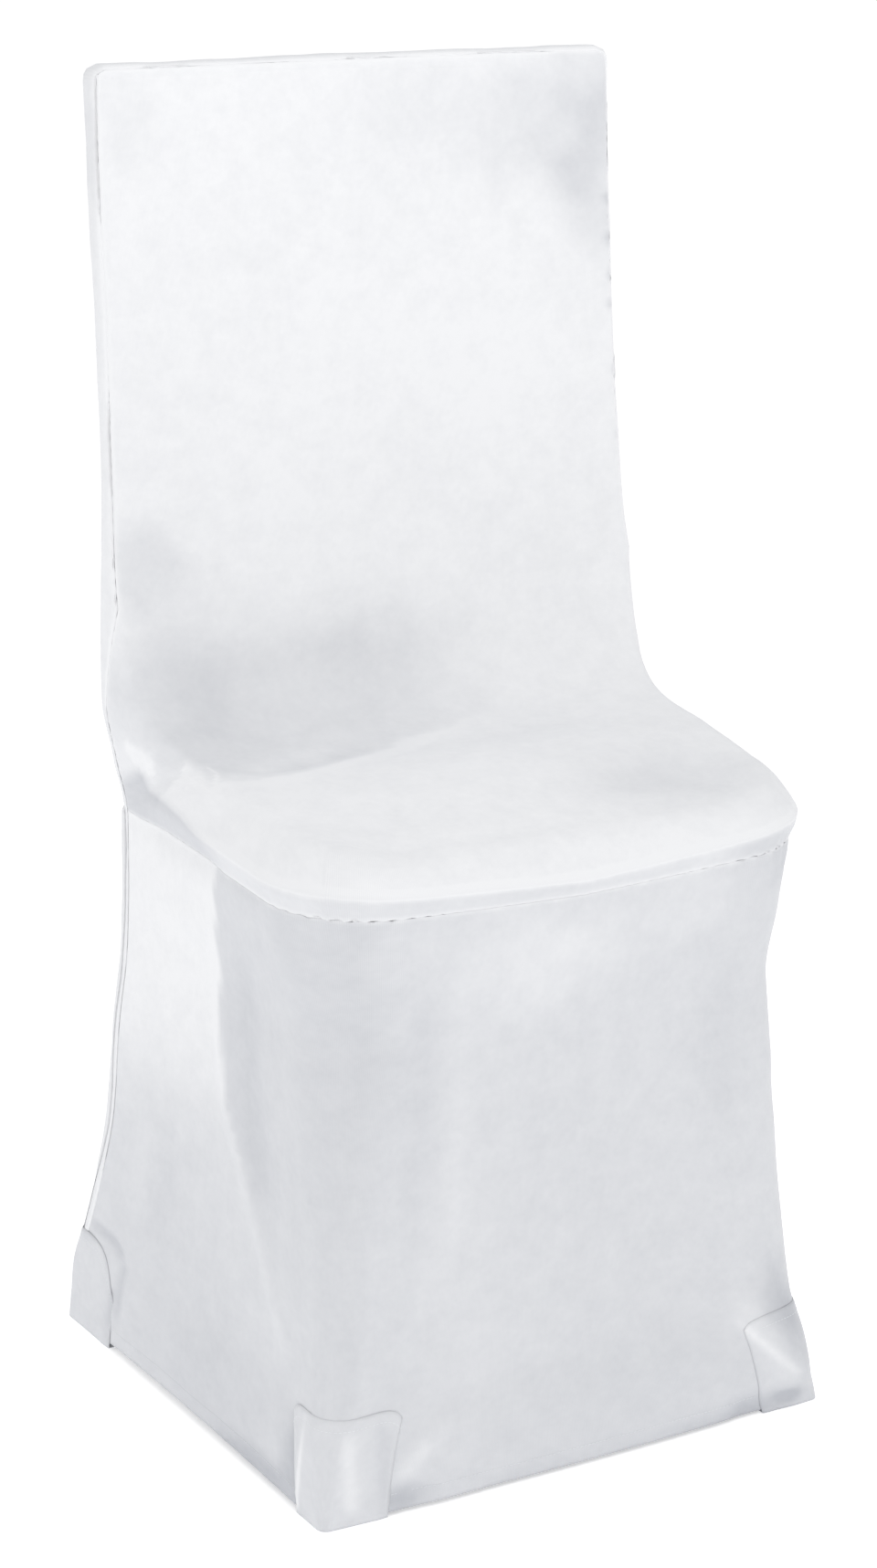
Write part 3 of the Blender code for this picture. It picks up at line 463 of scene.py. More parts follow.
# Gathers where the thread draws the cloth in along a seam.
PUCKER_COLUMNS = ("sheet", "x", "y", "z", "reach", "height", "wave", "fade")
PUCKERS = (
    ("inside", 0.205, 0.095, 0.860, 0.040, 0.0007, 0.017, 0.016),
    ("inside", 0.205, 0.095, 0.740, 0.040, 0.0006, 0.014, 0.014),
    ("inside", 0.190, -0.200, 0.450, 0.050, 0.0010, 0.015, 0.022),
    ("inside", -0.190, -0.200, 0.450, 0.060, 0.0006, 0.013, 0.016),
    ("skirt", 0.190, -0.200, 0.447, 0.060, 0.0008, 0.016, 0.024),
    ("skirt", -0.190, -0.200, 0.447, 0.060, 0.0006, 0.015, 0.020),
)
SEAM_RIPPLE = 0.00022    # the same, fainter, everywhere along the seams
SEAM_RIPPLE_WAVE = 0.011
SEAM_RIPPLE_FADE = 0.010
SEAM_SWAY = 5.0
PUCKER_SWAY = 4.0
GATHER_LEAST = 0.4
# Noise read along a seam: how often it changes a metre, and where in the noise it is read.
SWAY_NOISE = (9.0, 3.7, 0.0)
GATHER_NOISE = (14.0, 0.3, 5.0)

# The slight ups and downs of stretched cloth, from broad to fine: how often a metre sideways and
# upwards, where in the noise they are read, and their height.
UNEVEN = (
    (17.0, 13.0, 0.0, 0.0013),
    (42.0, 34.0, 7.0, 0.00042),
    (110.0, 90.0, -3.0, 0.00010),
)

# Hems: a narrow double fold with one row of stitches.
HEM_DEPTH = 0.012
HEM_STEP = 0.00035
HEM_STEP_WIDTH = 0.0016
HEM_GROOVE = 0.0003
HEM_GROOVE_WIDTH = 0.0012
HEM_RIPPLE = 0.00015
HEM_RIPPLE_WAVE = 0.014
HEM_RIPPLE_FADE = 0.010

POCKET_COLUMNS = ("end", "side_reach", "end_reach", "height")
POCKETS = (
    ("front", 0.031, 0.047, 0.079),
    ("rear", 0.072, 0.045, 0.086),
)
# How much lower a pocket is at its ends, as a share of its height, and how squarely it drops.
POCKET_DROP = {"front": (0.10, 8), "rear": (0.55, 4)}
SOLE_STEPS = 8
SOLE_INSET = 0.008
POCKET_HEM = 0.008
POCKET_HEM_STEP = 0.0003
POCKET_HEM_RISE = 0.0015

STITCH_PITCH = 0.0034
STITCH_LENGTH = 0.0026
STITCH_WIDTH = 0.00042
STITCH_SINK = 0.00012
STITCH_FLATNESS = 0.8
HEM_STITCH_STANDS = 0.4  # how far a stitch's middle stands off the cloth, as a share of its width
POCKET_STITCH_STANDS = 0.3

# The cloth's own white, and its colour under full painted shade.
CLOTH_WHITE = (0.852, 0.858, 0.867)
CLOTH_PAINTED_SHADE = (0.494, 0.508, 0.541)
THREAD_WHITE = (0.82, 0.83, 0.85)
THREAD_SHADE = (0.72, 0.74, 0.77)
KNIT_WALE = 0.0009       # width of one wale of the knit
KNIT_DEPTH = 0.00006
KNIT_COURSE = KNIT_WALE * 0.75
WAVE_SCALE = 0.314       # a wave texture's scale for bands one metre apart
SLUB_DEPTH = 0.00035
PANEL_WARP = 0.35        # how much longer than wide the cloth's slubs are drawn, on a panel
POCKET_WARP = 0.5

CAMERA_PLACE = (-1.2787, -2.2018, 1.1860)
CAMERA_YAW = 30.2591
CAMERA_PITCH = 15.6492
CAMERA_LENS = 79.67

# Area lights: place, aim, size and power.
LIGHT_COLUMNS = ("name", "place", "aim", "size", "power")
LIGHTS = (
    ("light_front_high", (0.3, -1.3, 2.0), (0.0, 0.05, 0.60), 1.0, 7.0),
    ("light_front_left", (-0.6, -1.5, 1.8), (0.0, 0.05, 0.60), 0.8, 4.5),
    ("light_left", (-1.3, 0.5, 0.7), (0.0, 0.00, 0.50), 0.6, 2.2),
    ("light_above", (0.0, 0.0, 3.0), (0.0, 0.00, 0.50), 2.4, 7.0),
)
WORLD_STRENGTH = 0.68
FLOOR_GLOW = 0.40        # keeps the plain floor as pale as a studio sweep
FLOOR_COLOUR = (0.93, 0.93, 0.935, 1.0)
FLOOR_HALF = 60.0
FLOOR_DROP = 0.0006      # keeps the floor clear of the cover's soles


def vector(x, y, z):
    return np.array([x, y, z], float)


def unit(value):
    return np.asarray(value, float) / np.linalg.norm(value)


def smooth(value):
    value = np.clip(value, 0.0, 1.0)
    return value * value * (3 - 2 * value)


def ramp(value, start, end):
    """From 0 at the start to 1 at the end, smoothly."""
    return smooth((value - start) / (end - start))


def faded(share, fade):
    """1 along a line, and down to 0 over the given share of its length at both ends."""
    return smooth(share / fade) * smooth((1 - share) / fade)


def bump(distance, width):
    """1 on a line, and falling off to both sides of it."""
    return np.exp(-(distance / width) ** 2)


def run_along(points):
    """Length along a line of points, from 0 at its start."""
    return np.concatenate([[0.0], np.cumsum(np.linalg.norm(np.diff(points, axis=0), axis=1))])


def unit_rows(rows):
    return rows / np.linalg.norm(rows, axis=1)[:, None]


SORTED_TABLES = {}       # each table of sizes, sorted when it is first read


def column(table, columns, name, place):
    """Reads one named column of a table at a place along its first column, smoothly."""
    if id(table) not in SORTED_TABLES:
        SORTED_TABLES[id(table)] = sorted(table)
    table = SORTED_TABLES[id(table)]
    which = columns.index(name)
    last = len(table) - 1
    place = min(max(place, table[0][0]), table[-1][0])
    i = max(k for k in range(last) if table[k][0] <= place)

    def slope(k):
        return (table[k + 1][which] - table[k][which]) / (table[k + 1][0] - table[k][0])

    def tangent(k):
        if k == 0:
            return slope(0)
        if k == last:
            return slope(k - 1)
        before, after = slope(k - 1), slope(k)
        return 0.0 if before * after <= 0 else 2 * before * after / (before + after)

    step = table[i + 1][0] - table[i][0]
    t = (place - table[i][0]) / step
    return (
        (1 + 2 * t) * (1 - t) ** 2 * table[i][which]
        + t * (1 - t) ** 2 * step * tangent(i)
        + t * t * (3 - 2 * t) * table[i + 1][which]
        + t * t * (t - 1) * step * tangent(i + 1)
    )


def rear(name, height):
    return column(REAR_CORNER, REAR_CORNER_COLUMNS, name, height)


def skirt_front(name, height):
    return column(SKIRT_FRONT, SKIRT_FRONT_COLUMNS, name, height)


def bend(name, row):
    return column(BEND, BEND_COLUMNS, name, row)


def flipped(station):
    """The same station on the right half."""
    return {k: v * (-1, 1, 1) if isinstance(v, np.ndarray) else v for k, v in station.items()}


# Level sections of the cover below the seat.

def side_length(height):
    rear_end = rear("rear_y", height) - REAR_ROUND
    return rear_end - skirt_front("front_y", height) - skirt_front("radius", height)


def section_point(height, segment, share, grow=0.0):
    """A point on the left half of a level section, and its outward direction."""
    half_rear, rear_y = rear("half_width", height), rear("rear_y", height)
    half_front, front_y = skirt_front("half_width", height), skirt_front("front_y", height)
    radius = skirt_front("radius", height)
    side_bow, front_bow = skirt_front("side_bow", height), skirt_front("front_bow", height)
    if segment == "rear":
        out = vector(0, 1, 0)
        x = -share * (half_rear - REAR_ROUND)
        y = rear_y - max(front_bow, 0.0) * (1 - share ** 2)
    elif segment == "rear_corner":
        angle = math.radians(90 + 90 * share)
        out = vector(math.cos(angle), math.sin(angle), 0)
        x = -(half_rear - REAR_ROUND) + REAR_ROUND * out[0]
        y = rear_y - REAR_ROUND + REAR_ROUND * out[1]
    elif segment == "side":
        out = vector(-1, 0, 0)
        x = -(half_rear + (half_front - half_rear) * share) + side_bow * 4 * share * (1 - share)
        y = rear_y - REAR_ROUND - side_length(height) * share
    elif segment == "front_corner":
        angle = math.radians(180 + 90 * share)
        out = vector(math.cos(angle), math.sin(angle), 0)
        x = -(half_front - radius) + radius * out[0]
        y = front_y + radius + radius * out[1]
    else:
        out = vector(0, -1, 0)
        x = -(half_front - radius) * (1 - share)
        near_seat = min(max((height - BOW_FROM) / (SEAM_FRONT_Z - BOW_FROM), 0.0), 1.0)
        y = front_y + (front_bow - FRONT_BOW * near_seat) * (1 - (1 - share) ** 2)
    return vector(x, y, height) + out * grow, out


def hem_height(segment, share):
    if segment == "side":
        return HEM_CLEAR + SIDE_ARCH * 4 * share * (1 - share)
    return HEM_CLEAR


# Outline of the back, seen from the front.

def top_rise(x):
    half = rear("half_width", TOP_Z)
    share = min(max((x / half + 1) / 2, 0.0), 1.0)
    return TOP_BOW * math.sin(math.pi * share ** TOP_BOW_LEAN)


def slab_station(outline, out, height):
    turn = math.radians(SEAM_TURN)
    front_y = column(FRONT_FACE, FRONT_FACE_COLUMNS, "front_y", height)
    crest = outline - out * FRONT_ROUND
    seam = outline - out * FRONT_ROUND * (1 - math.sin(turn))
    seam_y = front_y + FRONT_ROUND * (1 - math.cos(turn))
    return {
        "crest": vector(crest[0], front_y, crest[2]),
        "seam": vector(seam[0], seam_y, seam[2]),
        "outline": outline,
        "out": out,
        "inwards": -out * math.cos(turn) - vector(0, math.sin(turn), 0),
        "normal": out * math.sin(turn) - vector(0, math.cos(turn), 0),
        "reach": SLAB_REACH,
        "lean": 0.0,
        "turn": turn,
        "rear_y": rear("rear_y", height),
        "stop": float(np.interp(-height, [-h for h in BACK_STOPS], range(len(BACK_STOPS)))),
    }


def slab_side_stations():
    half = rear("half_width", TOP_Z)
    stations = []
    for angle in (45.0, 22.5, 0.0):
        out = vector(-math.cos(math.radians(angle)), 0, math.sin(math.radians(angle)))
        outline = vector(-(half - SLAB_CORNER), 0, TOP_Z - SLAB_CORNER) + SLAB_CORNER * out
        station = slab_station(outline, out, TOP_Z - SLAB_CORNER)
        station["stop"] = 1.0 - angle / 45.0
        stations.append(station)
    top, foot = TOP_Z - SLAB_CORNER, BACK_STOPS[BEND_STOP]
    steps = round((top - foot) / BACK_PITCH)
    for step in range(1, steps):
        height = top + (foot - top) * step / steps
        outline = vector(-rear("half_width", height), 0, height)
        stations.append(slab_station(outline, vector(-1, 0, 0), height))
    return stations


def slab_top_stations():
    half = rear("half_width", TOP_Z) - SLAB_CORNER
    steps = 2 * (CORNER_STEPS // 2 + FRONT_STEPS - 1)
    stations = []
    for step in range(steps + 1):
        x = -half + 2 * half * step / steps
        stations.append(slab_station(vector(x, 0, TOP_Z + top_rise(x)), vector(0, 0, 1), TOP_Z))
    return stations


# Rolled edge between the inside back and seat and its neighbours.

def side_wall_x(y, z):
    if z >= JUNCTION_Z:
        return -rear("half_width", z)
    share = (rear("rear_y", z) - REAR_ROUND - y) / side_length(z)
    return section_point(z, "side", share)[0][0]


def bend_seam(row):
    y, z, turn = bend("seam_y", row), bend("seam_z", row), math.radians(bend("turn", row))
    return vector(side_wall_x(y, z) + FRONT_ROUND * (1 - math.sin(turn)), y, z)


def edge_lift(row):
    """Which way the cloth leaves the seam: forward at the back's side, then up at the seat's."""
    up = float(ramp(row, LIFT_FROM, LIFT_TO))
    return unit(vector(0, up - 1, up))


def bend_stations():
    stations = []
    last = BEND[-1][0]
    for step in range(last * BEND_SPLIT + 1):
        row = step / BEND_SPLIT
        turn = math.radians(bend("turn", row))
        wall_normal = vector(-math.sin(turn), -math.cos(turn), 0)
        along = unit(bend_seam(min(row + 0.5, last)) - bend_seam(max(row - 0.5, 0)))
        tuck = min(max((row - JUNCTION_ROW) / SLOPE_ROWS, 0.0), 1.0) * SEAM_SLOPE
        height = bend("seam_z", row)
        stations.append({
            "crest": vector(-bend("crest_half", row), bend("crest_y", row), bend("crest_z", row)),
            "seam": bend_seam(row),
            "outline": vector(-rear("half_width", height), 0, height),
            "out": vector(-1, 0, 0),
            "inwards": unit(np.cross(wall_normal, along)),
            "lift": edge_lift(row),
            "normal": unit(wall_normal - vector(0, 0, tuck)),
            "reach": bend("reach", row),
            "lean": bend("lean", row),
            "turn": turn,
            "rear_y": rear("rear_y", height),
            "row": row,
            "stop": BEND_STOP + ROW_STOPS * row,
        })
    return stations


def seat_front_stations():
    stations = []
    side_end = dict(zip(BEND_COLUMNS, BEND[-1]))
    centre = vector(-side_end["crest_half"] + CREST_RADIUS, CREST_FRONT_Y + CREST_RADIUS, 0)
    for step in range(1, CORNER_STEPS + FRONT_STEPS + 1):
        corner_share = min(step / CORNER_STEPS, 1.0)
        front_share = max(step - CORNER_STEPS, 0) / FRONT_STEPS
        segment, share = ("front", front_share) if front_share > 0 else ("front_corner", corner_share)
        drop = SEAM_FRONT_Z - side_end["seam_z"]
        level = side_end["seam_z"] + drop * (corner_share + front_share) / 2
        seam, out = section_point(level, segment, share)
        crest = centre + CREST_RADIUS * out
        crest[0] *= 1 - front_share
        crest[1] -= FRONT_BOW * (1 - (1 - front_share) ** 2)
        crest[2] = side_end["crest_z"] + (CREST_FRONT_Z - side_end["crest_z"]) * corner_share
        stations.append({
            "crest": crest,
            "seam": seam,
            "out": out,
            "inwards": vector(0, 0, 1),
            "normal": unit(out - vector(0, 0, SEAM_SLOPE)),
            "reach": side_end["reach"],
            "lean": side_end["lean"],
            "segment": segment,
            "share": share,
            "stop": CORNER_STOP + CORNER_STOPS * corner_share + FRONT_STOPS * front_share,
        })
    return stations


def between(a, handle_a, handle_b, b, t):
    """A point on the smooth curve from a to b with two handles."""
    return (
        a * (1 - t) ** 3
        + handle_a * 3 * t * (1 - t) ** 2
        + handle_b * 3 * t * t * (1 - t)
        + b * t ** 3
    )


def edge_points(station):
    """Points across the edge, from just past the crest, over the seat's rim, to the seam."""
    crest, seam = station["crest"], station["seam"] + station["inwards"] * SEAM_GAP / 2
    out, inwards = station["out"], station.get("lift", station["inwards"])
    hold = min(np.linalg.norm(seam - crest) * EDGE_HOLD_SHARE, EDGE_HOLD)
    round_handle = crest + out * station["reach"]
    seam_handle = seam + inwards * hold + out * station["lean"]
    stop = station["stop"]
    weight = column(RIM, RIM_COLUMNS, "weight", stop)
    up, proud = column(RIM, RIM_COLUMNS, "up", stop), column(RIM, RIM_COLUMNS, "out", stop)
    rim = seam + inwards * up + out * proud
    fall = math.radians(RIM_FALL)
    arriving = out * math.cos(fall) - vector(0, 0, math.sin(fall))
    points = []
    for step in range(1, EDGE_STEPS + 1):
        rounded = between(crest, round_handle, seam_handle, seam, step / EDGE_STEPS)
        if step <= RIM_TOP_STEPS:
            t = step / RIM_TOP_STEPS
            near_crest = crest + out * RIM_TOP_HOLD
            rimmed = between(crest, near_crest, rim - arriving * RIM_TOP_HOLD, rim, t)
        else:
            t = (step - RIM_TOP_STEPS) / (EDGE_STEPS - RIM_TOP_STEPS)
            below = rim - inwards * up * RIM_LOWER[0] + out * RIM_LOWER[1]
            above = seam + inwards * up * SEAM_UPPER[0] + out * SEAM_UPPER[1]
            rimmed = between(rim, below, above, seam, t)
        points.append(rounded * (1 - weight) + rimmed * weight)
    return points


def seam_turn(seam, normal, inwards):
    """Where a panel's edge rounds inwards at its seam and runs on behind it."""
    points = []
    for angle in SEAM_TURN_ANGLES:
        turn = math.radians(angle)
        points.append(
            seam
            + inwards * SEAM_TURN_RADIUS * (1 - math.sin(turn))
            - normal * SEAM_TURN_RADIUS * (1 - math.cos(turn))
        )
    points.append(seam - normal * (SEAM_TURN_RADIUS * 1.4))
    points.append(seam - normal * (SEAM_TURN_RADIUS + SEAM_ALLOWANCE))
    return points


# Sheets.

class Sheet:
    """The outer face of one panel, and where its seams, hems and rows of stitches run."""

    def __init__(self, name):
        self.name = name
        self.points, self.faces, self.maps = [], [], []
        self.seam_lines, self.hem_lines = [], []
        self.hold, self.fold_hold = [], []
        self.below_rim, self.painted_highlight_on_rim = {}, {}

    def add(self, point, place=(0.0, 0.0), hold=1.0, fold_hold=0.0):
        """A point, its place on the flat cloth in metres, and how freely it takes dents and folds."""
        self.points.append(np.array(point, float))
        self.maps.append(place)
        self.hold.append(hold)
        self.fold_hold.append(fold_hold)
        return len(self.points) - 1

    def strip(self, start, points, way, hold=1.0):
        """Points leading away from one point of the sheet, laid flat in the given direction."""
        strip, last, run = [start], self.points[start], 0.0
        base = self.maps[start]
        for point in points:
            run += float(np.linalg.norm(point - last))
            last = point
            strip.append(self.add(point, (base[0] + way[0] * run, base[1] + way[1] * run), hold))
        return strip

    def join(self, strips):
        """Faces between each strip and the next."""
        for a, b in zip(strips, strips[1:]):
            for k in range(len(a) - 1):
                self.faces.append((a[k], a[k + 1], b[k + 1], b[k]))

    def grid(self, index, turned=False):
        for upper, lower in zip(index, index[1:]):
            for j in range(len(upper) - 1):
                face = (upper[j], lower[j], lower[j + 1], upper[j + 1])
                self.faces.append(face[::-1] if turned else face)

    def normals(self):
        points = np.array(self.points)
        faces = np.array(self.faces)
        across = np.cross(points[faces[:, 2]] - points[faces[:, 0]],
                          points[faces[:, 3]] - points[faces[:, 1]])
        normals = np.zeros_like(points)
        for corner in range(4):
            np.add.at(normals, faces[:, corner], across)
        return unit_rows(normals)


def line_through(points, pitch=0.002):
    """A smooth line through the given points, cut to even short steps."""
    points = [np.array(p, float) for p in points]
    points = [2 * points[0] - points[1]] + points + [2 * points[-1] - points[-2]]
    line = []
    for a, b, c, d in zip(points, points[1:], points[2:], points[3:]):
        steps = max(2, round(float(np.linalg.norm(c - b)) / pitch))
        for step in range(steps):
            t = step / steps
            line.append(0.5 * (
                2 * b + (c - a) * t + (2 * a - 5 * b + 4 * c - d) * t * t
                + (3 * b - a - 3 * c + d) * t ** 3
            ))
    line.append(points[-2])
    return np.array(line)


def search_tree(points):
    tree = kdtree.KDTree(len(points))
    for number, point in enumerate(points):
        tree.insert(Vector(point), number)
    tree.balance()
    return tree


def nearest_on(line, points):
    """Distance to a line, and the length along it, for each of many points."""
    tree = search_tree(line)
    lengths = run_along(line)
    distance = np.empty(len(points))
    along = np.empty(len(points))
    for number, point in enumerate(points):
        found, which, away = tree.find(Vector(point))
        distance[number] = away
        along[number] = lengths[which]
    return distance, along, lengths[-1]


def folds_on(name, points):
    """How far the listed folds lift a sheet's points off its plain face."""
    lift = np.zeros(len(points))
    for row in FOLDS:
        fold = dict(zip(FOLD_COLUMNS, row))
        if name not in fold["sheets"]:
            continue
        distance, along, length = nearest_on(line_through(fold["line"]), points)
        lift += fold["height"] * bump(distance, fold["width"]) * faded(along / length, fold["fade"])
    return lift


def read_line(line, places):
    """Second column of a short table, read at many places along its first."""
    line = sorted(line)
    return np.interp(places, [a for a, b in line], [b for a, b in line])


def ragged(points):
    """The same points pushed about a little, so that the patches of painted shade get uneven borders."""
    moved = points.copy()
    for number, point in enumerate(points):
        for often, far in WARP:
            moved[number] += np.array(noise.noise_vector(Vector(point * often))) * far
    return moved


def painted_shade_at(name, points, below_rim=0.0, painted_highlight_on_rim=0.0):
    """How much painted shade lies on the cloth at each point, and below 0 painted light."""
    plain = points
    points = ragged(points)
    x, y, z = points.T
    shade = np.full(len(points), PAINTED_SHADE_BASE[name])
    # The painted shade of the hollow stops at its edge on the seat.
    past_edge = smooth((y - read_line(HOLLOW_EDGE, x)) / HOLLOW_BORDER)
    past_foot = smooth((z - HOLLOW_FOOT) / HOLLOW_BORDER) * (x < HOLLOW_FOOT_X)
    above_edge = np.maximum(past_edge, past_foot)
    for row in PAINTED_SHADES:
        spot = dict(zip(PAINTED_SHADE_COLUMNS, row))
        if name not in spot["sheets"]:
            continue
        middle = vector(spot["x"], spot["y"], spot["z"])
        reach = vector(spot["reach_x"], spot["reach_y"], spot["reach_z"])
        away = ((plain if min(reach) < SHARP_REACH else points) - middle) / reach
        amount = spot["amount"] * np.exp(-np.sum(away * away, axis=1) ** 1.5)
        if name == "inside" and HOLLOW_BOTTOM < spot["z"] < HOLLOW_TOP:
            amount *= above_edge
        shade += amount
    for row in PAINTED_SHADE_LINES:
        band = dict(zip(PAINTED_SHADE_LINE_COLUMNS, row))
        if name in band["sheets"]:
            distance, along, length = nearest_on(line_through(band["line"]), plain)
            shade += band["amount"] * bump(distance, band["width"]) * faded(along / length, band["fade"])
    # Painted shade in the creases of the folds, painted light on their ridges.
    shade -= FOLD_PAINTED_SHADE * folds_on(name, plain)
    # Painted shade below the seat's rim, painted highlight on the rim.
    shade += below_rim - RIM_PAINTED_HIGHLIGHT * painted_highlight_on_rim
    if name == "skirt":
        # Painted light on the skirt's flat left side, painted shade on its front left corner.
        crease = read_line(SIDE_CREASE, plain[:, 2])
        front_of_crease = smooth((crease - plain[:, 1]) / CREASE_BORDER) * (x < 0)
        shade -= SIDE_PAINTED_LIGHT * (1 - front_of_crease) * ramp(z, *SIDE_PAINTED_LIGHT_TO) * (x < 0)
        at_corner = front_of_crease * (1 - ramp(x, *CORNER_PAINTED_SHADE_TO))
        shade += CORNER_PAINTED_SHADE * at_corner * smooth((z - CORNER_PAINTED_SHADE_FOOT) / CORNER_PAINTED_SHADE_RISE)
    return np.clip(shade, *PAINTED_SHADE_RANGE)


def tucked_in(points):
    """Pushes the left side's seam straight inwards, seat and skirt alike."""
    distance, along, length = nearest_on(line_through(TUCK_LINE), points)
    points = points.copy()
    points[:, 0] += TUCK_DEPTH * bump(distance, TUCK_WIDTH) * faded(along / length, TUCK_FADE)
    return points


def unevenness(points):
    """How far the cloth's slight ups and downs lift each point."""
    lift = np.zeros(len(points))
    for number, (x, y, z) in enumerate(points):
        for sideways, upwards, start, height in UNEVEN:
            place = Vector((x * sideways, y * sideways, z * upwards + start))
            lift[number] += noise.noise(place) * height
    return lift


def noise_along(lengths, often, y, z):
    return np.array([noise.noise(Vector((length * often, y, z))) for length in lengths])


def lay_folds(sheet):
    """Lays the dents, folds, gathers and the cloth's slight unevenness on a sheet."""
    points = np.array(sheet.points)
    normals = sheet.normals()
    free = np.array(sheet.hold)
    shift = np.zeros(len(points))
    above_feet = smooth((points[:, 2] - DENTS_FROM) / DENTS_FADE)
    for row in DENTS:
        dent = dict(zip(DENT_COLUMNS, row))
        if dent["sheet"] != sheet.name:
            continue
        middle = vector(dent["x"], dent["y"], dent["z"])
        reach = vector(dent["reach_x"], dent["reach_y"], dent["reach_z"])
        away = (points - middle) / reach
        fade = above_feet if sheet.name == "skirt" else 1.0
        shift -= dent["depth"] * np.exp(-np.sum(away * away, axis=1)) * fade * free
    fold_free = np.maximum(np.minimum(free * FOLD_HOLD_RATE, 1), sheet.fold_hold)
    shift += folds_on(sheet.name, points) * fold_free
    if sheet.seam_lines:
        line = np.concatenate(sheet.seam_lines)
        distance, along, length = nearest_on(line, points)
        sway = noise_along(along, *SWAY_NOISE)
        ripple = np.sin(along * 2 * math.pi / SEAM_RIPPLE_WAVE + sway * SEAM_SWAY)
        weight = GATHER_LEAST + (1 - GATHER_LEAST) * np.abs(noise_along(along, *GATHER_NOISE))
        shift += SEAM_RIPPLE * ripple * weight * np.exp(-distance / SEAM_RIPPLE_FADE)
        for row in PUCKERS:
            pucker = dict(zip(PUCKER_COLUMNS, row))
            if pucker["sheet"] != sheet.name:
                continue
            away = np.linalg.norm(points - vector(pucker["x"], pucker["y"], pucker["z"]), axis=1)
            wave = np.sin(along * 2 * math.pi / pucker["wave"] + sway * PUCKER_SWAY)
            near = bump(away, pucker["reach"]) * np.exp(-distance / pucker["fade"])
            shift += pucker["height"] * wave * near
    if sheet.hem_lines:
        line = np.concatenate(sheet.hem_lines)
        distance, along, length = nearest_on(line, points)
        inside_hem = smooth((HEM_DEPTH - distance) / HEM_STEP_WIDTH + 0.5)
        shift += HEM_STEP * inside_hem
        shift -= HEM_GROOVE * bump(distance - HEM_DEPTH, HEM_GROOVE_WIDTH)
        ripple = np.sin(along * 2 * math.pi / HEM_RIPPLE_WAVE)
        shift += HEM_RIPPLE * ripple * np.exp(-distance / HEM_RIPPLE_FADE)
    shift += unevenness(points) * np.minimum(free * UNEVEN_HOLD_RATE, 1)
    moved = points + normals * shift[:, None]
    if sheet.name in ("inside", "skirt"):
        moved = tucked_in(moved)
    sheet.points = list(moved)


def closed_mesh(name, outer, inner, faces, maps, painted_shade_amounts):
    """A closed mesh between two matching sets of points, with the cloth's flat place as UV."""
    count = len(outer)
    edges = {(a, b) for face in faces for a, b in zip(face, face[1:] + face[:1])}
    rim = [(a, b) for a, b in edges if (b, a) not in edges]
    every_face = list(faces)
    every_face += [tuple(i + count for i in face[::-1]) for face in faces]
    every_face += [(b, a, a + count, b + count) for a, b in sorted(rim)]
    mesh = bpy.data.meshes.new(name)
    mesh.from_pydata([tuple(p) for p in outer] + [tuple(p) for p in inner], [], every_face)
    places = np.array(list(maps) + list(maps))
    corners = np.empty(len(mesh.loops), int)
    mesh.loops.foreach_get("vertex_index", corners)
    layer = mesh.uv_layers.new(name="cloth_place")
    layer.data.foreach_set("uv", places[corners].ravel())
    # The painted shade, kept as an attribute that the material reads.
    shade = mesh.attributes.new("painted_cloth_shade", "FLOAT", "POINT")
    shade.data.foreach_set("value", np.concatenate([painted_shade_amounts, painted_shade_amounts]))
    mesh.shade_smooth()
    thing = bpy.data.objects.new(name, mesh)
    bpy.context.scene.collection.objects.link(thing)
    return thing


def relaxed(sheet, middle, reach, times):
    """Evens out the cloth round one place, keeping its seams where they are."""
    points = np.array(sheet.points)
    faces = np.array(sheet.faces)
    kept = nearest_on(np.concatenate(sheet.seam_lines), points)[0]
    ease = np.exp(-np.sum(((points - middle) / reach) ** 2, axis=1))
    ease = ease * smooth((kept - RELAX_SEAM_CLEAR) / RELAX_SEAM_FADE)
    ease[ease < RELAX_LEAST] = 0.0
    faces = faces[np.any(ease[faces] > 0, axis=1)]
    for turn in range(times):
        total, number = np.zeros_like(points), np.zeros(len(points))
        for a, b in ((0, 1), (1, 2), (2, 3), (3, 0)):
            np.add.at(total, faces[:, a], points[faces[:, b]])
            np.add.at(total, faces[:, b], points[faces[:, a]])
            np.add.at(number, faces[:, a], 1)
            np.add.at(number, faces[:, b], 1)
        mean = np.where(number[:, None] > 0, total / np.maximum(number, 1)[:, None], points)
        points += (mean - points) * RELAX_STEP * ease[:, None]
    sheet.points = list(points)


def sewn(sheet, name):
    """The finished cloth of one sheet: with its painted shade, folded and given its thickness."""
    count = range(len(sheet.points))
    below_rim = np.array([sheet.below_rim.get(k, 0.0) for k in count])
    painted_highlight_on_rim = np.array([sheet.painted_highlight_on_rim.get(k, 0.0) for k in count])
    painted_shade_amounts = painted_shade_at(sheet.name, np.array(sheet.points), below_rim, painted_highlight_on_rim)
    # Painted light along the seams.
    if sheet.seam_lines:
        distance = nearest_on(np.concatenate(sheet.seam_lines), np.array(sheet.points))[0]
        painted_shade_amounts += SEAM_PAINTED_SHADE * bump(distance, SEAM_PAINTED_SHADE_WIDTH)
    lay_folds(sheet)
    outer = np.array(sheet.points)
    inner = outer - sheet.normals() * CLOTH
    return closed_mesh(name, outer, inner, sheet.faces, sheet.maps, painted_shade_amounts)


# Inside back and seat.

def wedge_weight(stop):
    """1 along the part of the seat's side that tucks in, fading out at both ends."""
    row = (stop - BEND_STOP) / ROW_STOPS
    begin, full, hold, end = WEDGE_ROWS
    return float(ramp(row, begin, full) * ramp(row, end, hold))


